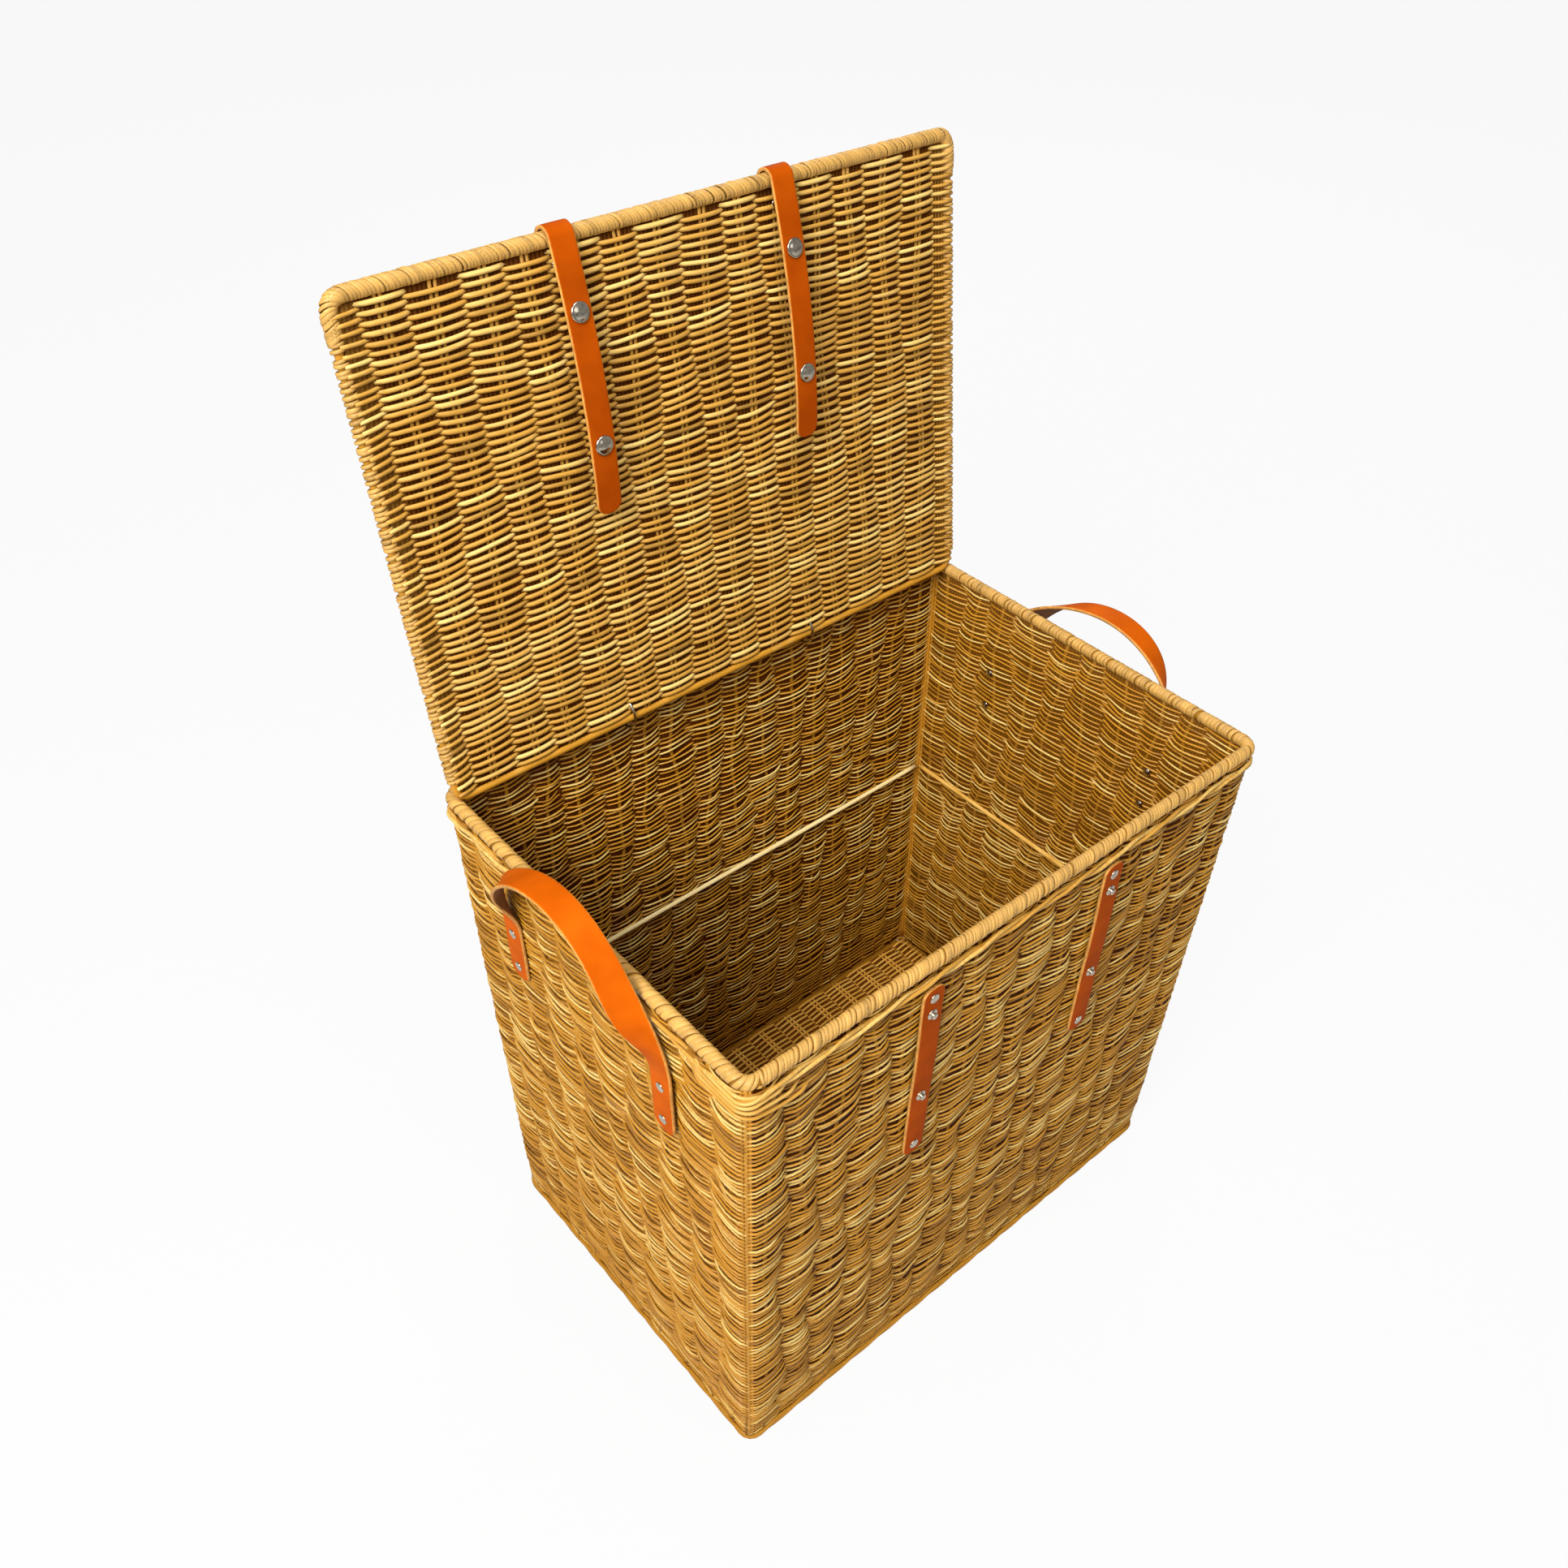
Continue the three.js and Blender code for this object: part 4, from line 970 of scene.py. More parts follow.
def weave_wall(rows, weave, side, first, gaps):
    """One wall: every row swings in front of one stake and behind the next."""
    piece = Piece()
    share = np.linspace(0, 1, gaps * ROW_STEPS + 1)[None, :]
    index = first + share * gaps
    line, order = rows.pieces_of(index)
    row = np.arange(rows.count)[:, None]
    spot = index + rows.lean(index, rows.level) + rows.slide(index)
    wave = np.sin(math.pi * (spot + row))
    height = rows.height(index) + rows.at_stake(rows.sags, spot) * wave ** 2
    fat = weave.wall_strand / 2 * rows.fats[line, order]
    free = weave.wall_swell * rows.at_stake(rows.swings, spot)
    loose = ease(rows.level, WALL_LOW, WALL_LOW + FLAT_FOOT)
    free = free * (FLAT_SHARE + (1 - FLAT_SHARE) * loose)
    tight = np.minimum(free, WALL_FACE + 0.2 * MM - fat)
    reach = free + (tight - free) * pressed(side, share, height)
    swing = blunted(wave, 0.9)
    centres = wall_curve(side, share, height, swing * reach)
    tone = rows.tones[line, order] + rows.at_stake(rows.shades, spot) * np.abs(wave)
    # Painted shade: strands are darker where they cross between stakes. They also grow darker
    # towards the foot.
    tone = tone - 0.08 * (1 - np.abs(wave)) - FOOT_DARKENING * (1 - ease(height, 0.0, DARK_FOOT))
    # Painted shade in the crevices, set per wall, with the upper sides painted lighter and the
    # undersides darker.
    unshaded = 1 - WALL_SHADE_DEPTHS[side] * (1 - unshaded_share(swing, ROW_FACETS, 0.24))
    piece.tubes(centres, UP, fat, fat, ROW_FACETS, np.clip(tone, 0, 1), unshaded=unshaded)
    return piece


# Stakes reach from foot to top; thin liners close the gaps between them. Both carry painted shade,
# the liners most, so the gaps show as dark shade.

STAKE_FOOT = 4 * MM
STAKE_TOP = 477 * MM
STAKE_STEPS = 18
LINER_FOOT = 5 * MM
LINER_STEPS = 10
LINER_PITCH = 3.1 * MM
WALL_LINER = (1.9 * MM, 0.45 * MM)
CORNER_TOP = 472 * MM


def stake_pairs(gaps, apart):
    """The gap at which each stake of a pair stands, and how far it stands to the side."""
    return np.repeat(np.arange(1, gaps), 2), np.tile([-apart, apart], gaps - 1)


def wall_stakes(piece, rows, side, first, gaps, rng):
    """The upright stakes that the rows pass, with thin liners between them."""
    height = np.linspace(STAKE_FOOT, STAKE_TOP, STAKE_STEPS)[None, :]
    number = np.arange(gaps)[:, None] + 0.5
    index = first + number - rows.lean(first + number, height)
    share = (index - first) / gaps
    centres = wall_curve(side, share, height, 0.0)
    out = np.append(SIDES[side][1], 0.0)
    thick = rng.uniform(1.6, 1.9, (len(number), 1)) * MM
    tone = rng.uniform(0.2, 0.5, (len(number), 1))
    # Painted shade darkens the stakes a little.
    piece.tubes(centres, out, thick, thick, STAKE_FACETS, tone, unshaded=0.55)
    count = int(2 * MOUTH_HALF[SIDES[side][2]] / LINER_PITCH)
    height = np.linspace(LINER_FOOT, STAKE_TOP, LINER_STEPS)[None, :]
    share = np.linspace(0.010, 0.990, count)[:, None]
    share = share + rng.normal(0, 0.0002, (count, LINER_STEPS))
    centres = wall_curve(side, share, height, 0.0)
    # The liners are painted dark as the shade behind the weave.
    unshaded = 1 - WALL_SHADE_DEPTHS[side] * 0.85
    piece.tubes(centres, out, *WALL_LINER, LINER_FACETS, 0.3, unshaded=unshaded)


def corner_stakes(piece, side, rng):
    """The bundle of stakes at the corner where a wall starts."""
    height = np.linspace(LINER_FOOT, CORNER_TOP, 30)[None, :]
    share = np.array([[0.0], [0.0062], [-0.0062]])
    swell = np.array([[-0.9], [-0.7], [-0.7]]) * MM
    centres = wall_curve(side, share, height, swell)
    out = np.append(SIDES[side][1], 0.0)
    thick = np.array([[1.5], [1.15], [1.15]]) * MM
    # Painted shade darkens the corner stakes a little.
    piece.tubes(centres, out, thick, thick, 7, rng.uniform(0.25, 0.6, (3, 1)), unshaded=0.78)


class BASKET_OT_walls(bpy.types.Operator):
    """Weave the four walls over their stakes"""

    bl_idname = "basket.walls"
    bl_label = "Woven Walls"

    def execute(self, context):
        weave = context.scene.basket_weave
        rows = WallRows(weave)
        rng = np.random.default_rng(STAKES_SEED)
        first = 0
        stakes = Piece()
        corners = Piece()
        for side in SIDES:
            gaps = weave.long_gaps if SIDES[side][2] == 0 else weave.short_gaps
            wall = weave_wall(rows, weave, side, first, gaps)
            wall.build(f"woven_{side}_wall", "basket", "rattan", [f"{side}_wall"], ["rattan"])
            wall_stakes(stakes, rows, side, first, gaps, rng)
            corner_stakes(corners, side, rng)
            first += gaps
        stakes.build("wall_stakes", "basket", "rattan", [], ["rattan"])
        posts = [f"corner_post_{depth}_{hand}"
                 for depth in ("front", "back") for hand in ("left", "right")]
        corners.build("corner_stakes", "basket", "rattan", posts, ["rattan"])
        return {"FINISHED"}


# The base's margin, stakes and liners, and the strands at the foot and the rim

BASE_MARGIN = 4 * MM
BASE_PAIR = 2.1 * MM
BASE_STAKE = 1.5 * MM
BASE_LINERS = 140
BASE_LINER = (1.85 * MM, 1.2 * MM)
BASE_STEPS = 5
FOOT_INNER = 3.4 * MM
FOOT_INNER_RADIUS = 2.7 * MM
FOOT_TWIST = 62 * MM
RIM_CORE = 4.3 * MM
WALING_TWIST = 92 * MM
WALING_HEIGHT = 466.2 * MM
TUCKED_ENDS = 4


def twisted_pair(loop, twist):
    """Two strands twisted round a loop: for each its number, the lengths along it, its angles."""
    lengths = lengths_along(closed_up(loop))
    gone = lengths[:-1]
    angle = gone / lengths[-1] * round(lengths[-1] / twist) * TURN
    return [(number, gone, angle + number * math.pi) for number in range(2)]


class BASKET_OT_base(bpy.types.Operator):
    """Weave the base and lay the twisted border round the foot"""

    bl_idname = "basket.base"
    bl_label = "Woven Base"

    def execute(self, context):
        weave = context.scene.basket_weave
        rng = np.random.default_rng(BASE_SEED)
        piece = Piece()
        last = BASE_HALF[1] - BASE_MARGIN
        count = int(2 * last / weave.base_row_pitch)
        gaps = weave.base_gaps
        level = np.linspace(-last, last, count)[:, None]
        share = np.linspace(0, 1, gaps * BASE_STEPS + 1)[None, :]
        index = share * gaps
        row = np.arange(count)[:, None]
        across = (2 * share - 1) * BASE_HALF[0]
        wander = 0.3 * np.sin(1.7 * index + rng.uniform(0, 6.3, (count, 1)))
        wander = wander + 1.2 * np.sin(0.9 * index + level / 0.03)
        calm = 1 - ease(np.abs(level), BASE_HALF[1] - 0.02, BASE_HALF[1])
        depth = level + wander * calm * MM
        radius = weave.base_strand / 2
        wave = blunted(np.cos(math.pi * (index + row)), 0.7)
        swing = wave * (BASE_MIDDLE - radius)
        centres = together(across, depth, BASE_MIDDLE + swing)
        fat = np.minimum(radius * rng.uniform(0.86, 1.0, (count, 1)), radius)
        # Painted shade in the base's crevices, lighter than on the walls.
        unshaded = 0.42 + 0.58 * unshaded_share(wave, ROW_FACETS)
        tone = np.clip(rng.normal(0.45, 0.2, (count, 1)), 0, 1)
        piece.tubes(centres, (0, 1, 0), fat, fat, ROW_FACETS, tone, unshaded=unshaded)
        number, shift = stake_pairs(gaps, BASE_PAIR)
        middle = (2 * number / gaps - 1) * BASE_HALF[0] + shift
        run = np.linspace(-BASE_HALF[1], BASE_HALF[1], 16)
        bend = 0.6 * MM * np.sin(run[None, :] / 0.04 + number[:, None])
        stakes = together(middle[:, None] + bend, run[None, :], BASE_MIDDLE)
        tone = rng.uniform(0.3, 0.7, (len(number), 1))
        piece.tubes(stakes, UP, BASE_STAKE, BASE_STAKE, STAKE_FACETS, tone)
        run = np.linspace(-BASE_HALF[1], BASE_HALF[1], 6)
        middle = np.linspace(-BASE_HALF[0], BASE_HALF[0], BASE_LINERS)[:, None]
        liners = together(middle, run[None, :], BASE_MIDDLE)
        # The liners are painted dark as the shade under the rows.
        piece.tubes(liners, UP, *BASE_LINER, LINER_FACETS, 0.35, unshaded=0.25)
        piece.build("woven_base", "basket", "rattan", ["base_weave"], ["bottom"])
        self.border()
        return {"FINISHED"}

    def border(self):
        """Two stout strands twisted together round the foot, and a plain one inside them."""
        piece = Piece()
        flat, outs = rounded_loop(FOOT_HALF, FOOT_CORNER, 4 * MM)
        for number, gone, turn in twisted_pair(flat, FOOT_TWIST):
            push = (1.4 + 0.5 * np.cos(turn)) * MM
            lift = FOOT_RADIUS + 0.1 * MM + 1.4 * MM * np.sin(turn)
            centres = lifted(flat + push[:, None] * outs, lift)
            thick = 1.9 * MM * (1 + 0.04 * np.sin(gone / 0.033 + number))
            tone = 0.28 + 0.1 * np.sin(gone / 0.21 + 2 * number)
            # Painted shade darkens these strands a little.
            piece.tubes(centres[None], UP, thick, thick, 10, tone, closed=True, unshaded=0.66)
        inner = rounded_loop(FOOT_HALF - FOOT_INNER, FOOT_CORNER, 6 * MM)[0]
        centres = lifted(inner, FOOT_INNER)
        thick = FOOT_INNER_RADIUS
        # Painted shade darkens the inner rod more.
        piece.tubes(centres[None], UP, thick, thick, 8, 0.4, closed=True, unshaded=0.5)
        piece.build("foot_border", "basket", "rattan", ["foot_rod"], ["rattan"])


class BASKET_OT_mouth(bpy.types.Operator):
    """Wind the mouth rim and lay the twisted strands under it"""

    bl_idname = "basket.mouth"
    bl_label = "Mouth Rim"

    def execute(self, context):
        lashing = context.scene.basket_lashing
        rng = np.random.default_rng(MOUTH_SEED)
        flat, outs = rounded_loop(MOUTH_HALF, RIM_CORNER, 2 * MM)
        rim = lifted(flat, RIM_HEIGHT)
        core = Piece()
        # The core is painted darker as the shade seen through the gaps in the cane.
        core.tubes(rim[None], UP, RIM_CORE, RIM_CORE, 12, 0.4, closed=True, unshaded=0.5)
        core.build("mouth_rim_core", "basket", "rattan", ["mouth_rim_rod"], ["rattan"])
        wound = Piece()
        path = closed_up(rim)
        sides = closed_up(lifted(outs, 0.0))
        ups = np.broadcast_to(UP, path.shape)
        coarse = ease(-sides[:, 0], 0.5, 0.9) * 0.55 + ease(sides[:, 0], 0.5, 0.9) * 0.25
        wind(wound, path, sides, ups, lashing.rim_turn * (1 + coarse), RIM_RADIUS - 1.6 * MM,
             cover=0.60, half_thick=0.70 * MM, steps=14, rng=rng, slip=0.30, tilt=1.8 * MM)
        wound.build("mouth_rim_cane", "basket", "cane", ["mouth_rim_lashing"], ["cane"])
        self.waling(rng)
        return {"FINISHED"}

    def waling(self, rng):
        """Two pale strands in a long twist just under the rim, and the ends tucked at one corner."""
        piece = Piece()
        flat, outs = rounded_loop(half_at(WALING_HEIGHT), WALL_CORNER + 4 * MM, 3 * MM)
        for number, gone, turn in twisted_pair(flat, WALING_TWIST):
            push = (4.1 + 1.2 * np.cos(turn)) * MM
            lift = WALING_HEIGHT + (2.0 * np.sin(turn) + 0.5 * np.sin(3.3 * turn + number)) * MM
            centres = lifted(flat + push[:, None] * outs, lift)
            thick = 1.45 * MM * (1 + 0.08 * np.sin(gone / 0.027 + 2 * number))
            tone = 0.56 + 0.26 * np.sin(gone / 0.07 + 2 * number)
            piece.tubes(centres[None], UP, thick, thick, 8, tone, closed=True)
        for number in range(TUCKED_ENDS):
            self.tucked(piece, number, rng)
        piece.build("rim_waling", "basket", "rattan", [], ["gold"])

    def tucked(self, piece, number, rng):
        """One strand that comes round the front left corner and ends in the front wall."""
        run = np.linspace(-58 * MM, (30 + 9 * number) * MM, 60)
        reach = half_at(0.965 * RIM_HEIGHT)
        corner = WALL_CORNER + (5.2 + 0.5 * number) * MM
        bend = np.clip(run / corner, -math.pi / 4, math.pi / 4)
        rest = run - bend * corner
        side = np.minimum(rest, 0.0)
        front = np.maximum(rest, 0.0)
        turn = bend + math.pi / 4
        across = -reach[0] + WALL_CORNER - corner * np.cos(turn) + front
        depth = -reach[1] + WALL_CORNER - corner * np.sin(turn) - side
        splay = ease(run, -10 * MM, 40 * MM)
        drop = (2.0 + 3.6 * number) * MM
        lift = RIM_HEIGHT - 10 * MM - drop - splay * (3.2 * (number - 1)) * MM
        lift = lift + 0.5 * MM * np.sin(run / 0.011 + number)
        end = ease(run, run[-1] - 16 * MM, run[-1])
        start = 1 - ease(run, run[0], run[0] + 20 * MM)
        across = across + 4.6 * MM * start
        depth = depth + 4.6 * MM * end
        centres = together(across, depth, lift)
        thick = (1.2 - 0.4 * end) * MM
        piece.tubes(centres[None], UP, thick, thick, 8, rng.uniform(0.40, 0.75))


# Tone of each inner rail, from 0 to 1, set per side: painted lighter or darker to suit the light
# each rail lies in

RAIL_LIGHT_TONES = {"front": 0.6, "right": 0.12, "back": 1.0, "left": 0.5}


class BASKET_OT_rails(bpy.types.Operator):
    """Lay the bare rails half way up the inside"""

    bl_idname = "basket.rails"
    bl_label = "Inner Rails"

    def execute(self, context):
        rng = np.random.default_rng(RAILS_SEED)
        piece = Piece()
        half = half_at(RAIL_HEIGHT)
        for side, tone in RAIL_LIGHT_TONES.items():
            along, out, axis = SIDES[side]
            reach = half[axis] - 11.5 * MM
            run = np.linspace(-reach, reach, 40)
            bow = 0.25 * MM * np.sin(run / 0.06 + rng.uniform(0, 6))
            flat = run[:, None] * along + (half[1 - axis] - RAIL_INSET + bow)[:, None] * out
            lift = RAIL_HEIGHT + 0.4 * MM * np.sin(run / 0.09 + rng.uniform(0, 6))
            thick = 0.92 * RAIL_RADIUS * (1 + 0.05 * np.sin(run / 0.035 + rng.uniform(0, 6)))
            piece.tubes(lifted(flat, lift)[None], UP, thick, thick, 12, tone)
        piece.build("inner_rails", "basket", "rattan", [f"rail_{side}" for side in SIDES], ["straw"])
        return {"FINISHED"}


# Lid: where its rows start and stop, how flat they are, its stake pairs, liners and wound rims

LID_CORNER_STEPS = 8
LID_CALM = 30 * MM
LID_FIRST_ROW = LID_REAR + 5.2 * MM
LID_LAST_ROW = LID_FRONT - 8.0 * MM
LID_ROW_FLATNESS = 0.80
LID_PAIR = 1.9 * MM
LID_LINERS = 156
LID_LINER = (1.95 * MM, 0.8 * MM)
LID_LINER_SPAN = 0.978
LID_CANE_START = LID_FRONT - 26 * MM
LID_SIDE_ENDS = (LID_REAR + 16 * MM, LID_FRONT - 20 * MM)


def lid_half(forward):
    """Half the lid's width at a distance from the hinge."""
    share = (forward - LID_REAR) / (LID_FRONT - LID_REAR)
    return LID_REAR_HALF + (LID_FRONT_HALF - LID_REAR_HALF) * share


def lid_stray(forward, index):
    """How far a stake of the lid strays to the side, as a share of a gap."""
    return 0.07 * np.sin(forward / 0.03 + index * 2.3)


def lid_outline(step):
    """The lid's rod from the rear left corner round the front to the rear right one and back."""
    points = []
    left = np.array([-lid_half(LID_REAR), LID_REAR])
    corners = [left, np.array([-LID_FRONT_HALF, LID_FRONT]), np.array([LID_FRONT_HALF, LID_FRONT]),
               left * np.array([-1.0, 1.0])]
    total = len(corners)
    for number in range(total):
        here = corners[number]
        before = corners[number - 1]
        after = corners[(number + 1) % total]
        toward = unit(before - here)
        onward = unit(after - here)
        angle = math.acos(float(np.clip(toward @ onward, -1, 1)))
        cut = LID_CORNER / math.tan(angle / 2)
        middle = here + unit(toward + onward) * LID_CORNER / math.sin(angle / 2)
        start = here + toward * cut - middle
        end = here + onward * cut - middle
        sweep = math.pi - angle
        for share in np.linspace(0, 1, LID_CORNER_STEPS + 1):
            one = math.sin((1 - share) * sweep) / math.sin(sweep)
            two = math.sin(share * sweep) / math.sin(sweep)
            points.append(middle + one * start + two * end)
    closed = closed_up(np.array(points))
    lengths = lengths_along(closed)
    places = np.linspace(0, lengths[-1], int(lengths[-1] / step), endpoint=False)
    return resample(closed, lengths, places)


class BASKET_OT_lid(bpy.types.Operator):
    """Weave the lid and wind its rims"""

    bl_idname = "basket.lid"
    bl_label = "Lid"

    def execute(self, context):
        weave = context.scene.basket_weave
        lashing = context.scene.basket_lashing
        rng = np.random.default_rng(LID_SEED)
        self.rod()
        self.rows(weave, rng)
        self.rims(lashing, rng)
        return {"FINISHED"}

    def rod(self):
        """The bent rod that the lid is woven on."""
        piece = Piece()
        flat = lid_outline(3 * MM)
        centres = lid_place(flat[:, 0], flat[:, 1], 0.0)
        piece.tubes(
            centres[None], LID_INWARD, LID_ROD_RADIUS, LID_ROD_RADIUS, 10, 0.45, closed=True)
        piece.build("lid_frame_rod", "lid", "rattan", ["lid_rod"], ["rattan"])

    def rows(self, weave, rng):
        """Rows across the lid, over pairs of stakes, and tight round the side rods."""
        piece = Piece()
        gaps = weave.lid_gaps
        low = LID_FIRST_ROW
        high = LID_LAST_ROW
        count = int((high - low) / weave.lid_row_pitch)
        level = np.linspace(low, high, count)[:, None]
        share = np.linspace(0, 1, gaps * ROW_STEPS + 1)[None, :]
        index = share * gaps
        row = np.arange(count)[:, None]
        radius = weave.lid_strand / 2
        lone = 0.35 * np.sin(1.9 * index + rng.uniform(0, 6.3, (count, 1)))
        lone = lone + 0.3 * np.sin(3.1 * index + rng.uniform(0, 6.3, (count, 1)))
        shared = 1.5 * np.sin(0.75 * index + level / 0.034)
        shared = shared + 0.9 * np.sin(1.6 * index - level / 0.02)
        calm = ease(level, low, low + LID_CALM) * (1 - ease(level, high - LID_CALM, high))
        forward = level + (lone + shared) * calm * MM * weave.unevenness
        edge = np.minimum(index, gaps - index)
        lean = lid_stray(level, index) * weave.unevenness * ease(edge, 0.3, 1.0)
        wave = blunted(np.cos(math.pi * (index + lean + row)), 0.55)
        thin = rng.uniform(0.86, 1.06, (count, 1))
        near = 1 - ease(edge, 0.0, 0.8)
        deep = radius * LID_ROW_FLATNESS
        inner = (WALL_FACE - deep) + 0.2 * MM
        outer = LID_ROD_RADIUS + radius * 0.7
        swing = wave * (inner + (outer - inner) * near) * (0.92 + 0.1 * thin)
        across = (2 * share - 1) * lid_half(level)
        centres = lid_place(across, forward, swing)
        fat = radius * thin * (1 - 0.25 * near)
        tone = np.clip(rng.normal(0.52, 0.25, (count, 1)), 0.05, 1)
        # Painted shade in the crevices, with the upper sides painted lighter, and little shade near
        # the side rods.
        unshaded = np.maximum(unshaded_share(wave, LID_ROW_FACETS, 0.3), 0.8 * near[..., None])
        onward = lid_way(0.0, 1.0, 0.0)
        flat = fat * LID_ROW_FLATNESS
        piece.tubes(centres, onward, flat, fat, LID_ROW_FACETS, tone, unshaded=unshaded)
        number, shift = stake_pairs(gaps, LID_PAIR)
        run = np.linspace(LID_REAR, LID_FRONT, 20)[None, :]
        bend = -lid_stray(run, number[:, None]) / gaps * weave.unevenness
        middle = (2 * (number[:, None] / gaps + bend) - 1) * lid_half(run) + shift[:, None]
        stakes = lid_place(middle, run, 0.0)
        thick = rng.uniform(1.5, 1.75, (len(number), 1)) * MM
        tone = rng.uniform(0.25, 0.55, (len(number), 1))
        # Painted shade darkens the stakes a little.
        piece.tubes(stakes, LID_INWARD, thick, thick, STAKE_FACETS, tone, unshaded=0.62)
        run = np.linspace(LID_REAR, LID_FRONT, 12)[None, :]
        middle = np.linspace(-LID_LINER_SPAN, LID_LINER_SPAN, LID_LINERS)[:, None] * lid_half(run)
        middle = middle + rng.normal(0, 0.12 * MM, middle.shape)
        beside = ease(np.abs(middle), 0.9 * lid_half(run), lid_half(run))[..., None]
        liners = lid_place(middle, run, 0.0)
        # The liners are painted dark as the shade behind the weave, less so near the sides.
        unshaded = 0.14 + 0.4 * beside
        piece.tubes(liners, LID_INWARD, *LID_LINER, LINER_FACETS, 0.3, unshaded=unshaded)
        piece.build("woven_lid", "lid", "rattan", ["lid_weave"], ["gold"])

    def rims(self, lashing, rng):
        """Cane wound on the front rim, and the strand turns on the sides."""
        piece = Piece()
        flat = lid_outline(2 * MM)
        front = flat[flat[:, 1] > LID_CANE_START]
        front = front[np.argsort(np.arctan2(front[:, 0], front[:, 1] - LID_FRONT + 0.2))]
        path = lid_place(front[:, 0], front[:, 1], 0.0)
        tangent = unit(np.gradient(path, axis=0))
        up = np.broadcast_to(LID_INWARD, path.shape)
        out = np.cross(up, tangent)
        wind(piece, path, out, up, lashing.lid_turn, RIM_RADIUS - 1.2 * MM,
             cover=0.62, half_thick=0.55 * MM, steps=14, rng=rng, slip=0.25, tilt=2.6 * MM)
        for hand in (-1, 1):
            run = np.linspace(*LID_SIDE_ENDS, 120)
            path = lid_place(hand * lid_half(run), run, 0.0)
            out = np.broadcast_to(lid_way(float(hand), 0.0, 0.0), path.shape)
            up = np.broadcast_to(LID_INWARD, path.shape)
            wind(piece, path, out, up, lashing.edge_turn, LID_ROD_RADIUS + 0.9 * MM,
                 cover=0.42, half_thick=1.2 * MM, steps=12, rng=rng, slip=0.2)
        piece.build("lid_rim_cane", "lid", "cane", ["lid_rim_lashing"], ["cane"])


class BASKET_OT_rings(bpy.types.Operator):
    """Bend the wire rings that hinge the lid"""

    bl_idname = "basket.rings"
    bl_label = "Hinge Rings"

    def execute(self, context):
        for hand, place in STRAP_PLACES.items():
            piece = Piece()
            angle = ring_angles(72)
            centres = together(
                place, RING_CENTRE[0] + RING_RADIUS * np.cos(angle),
                RING_CENTRE[1] + RING_RADIUS * np.sin(angle))
            piece.tubes(centres[None], (1, 0, 0), RING_WIRE, RING_WIRE, 12, 0.5, closed=True)
            piece.build(f"{hand}_ring", "basket", "nickel", [f"hinge_ring_{hand}"], ["nickel"])
        return {"FINISHED"}


# Leather: the finishes of grain, flesh and edge; the tabs and closing straps use a darker copy of
# the grain as painted shade

TAB_LEATHER = ["leather_tab", "leather_flesh", "leather_edge"]
HANDLE_LEATHER = ["leather_grain", "leather_flesh", "leather_edge"]


def tongue_path(count):
    """The hanging end of a closing strap, seen along the lid, with its grain direction."""
    share = np.linspace(0, 1, count)[:, None]
    curve = ((1 - share) ** 3 * TONGUE[0] + 3 * share * (1 - share) ** 2 * TONGUE[1]
             + 3 * share ** 2 * (1 - share) * TONGUE[2] + share ** 3 * TONGUE[3])
    legs = np.diff(TONGUE, axis=0)
    slope = unit(3 * (1 - share) ** 2 * legs[0] + 6 * share * (1 - share) * legs[1]
                 + 3 * share ** 2 * legs[2])
    grain = np.stack([slope[:, 1], -slope[:, 0]], -1)
    return curve, grain


def closing_strap_path():
    """The whole closing strap: riveted end, bend over the rim, hanging end."""
    stop = np.array([LID_FRONT, -BEND_RADIUS])
    share = np.linspace(0, 1, 14, endpoint=False)[:, None]
    share = np.concatenate([np.linspace(0, 0.28, 8, endpoint=False)[:, None], 0.28 + 0.72 * share])
    end = ANCHOR_START + (stop - ANCHOR_START) * share
    slope = unit(stop - ANCHOR_START)
    end_grain = np.broadcast_to(np.array([slope[1], -slope[0]]), end.shape)
    angle = np.linspace(-math.pi / 2, BEND_END, 22, endpoint=False)
    round_way = np.stack([np.cos(angle), np.sin(angle)], -1)
    bend = np.array([LID_FRONT, 0.0]) + BEND_RADIUS * round_way
    tongue, grain = tongue_path(46)
    path = np.concatenate([end, bend, tongue])
    grains = np.concatenate([end_grain, round_way, grain])
    lengths = lengths_along(path)
    fine = lengths[-1] - TIP_STEPS[::-1]
    places = np.concatenate([lengths[lengths < fine[0] - 1 * MM], fine])
    return resample(path, lengths, places), resample(grains, lengths, places)


class BASKET_OT_closing_straps(bpy.types.Operator):
    """Cut the two straps that close the lid"""

    bl_idname = "basket.closing_straps"
    bl_label = "Closing Straps"

    def execute(self, context):
        leather = context.scene.basket_leather
        path, grains = closing_strap_path()
        for hand, place in STRAP_PLACES.items():
            piece = Piece()
            centres = lid_place(place, path[:, 0], path[:, 1])
            normal = lid_way(0.0, grains[:, 0], grains[:, 1])
            strap(piece, centres, normal, leather.width, leather.thickness)
            nodes = [f"strap_{hand}_{part}" for part in ("anchor", "bend", "tongue")]
            made = piece.build(f"{hand}_closing_strap", None, "leather", nodes, TAB_LEATHER)
            tuple(lid_place(place, LID_FRONT, -6.0 * MM))
            tuple(lid_place(place, LID_FRONT, 7.0 * MM))
            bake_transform(made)
        return {"FINISHED"}


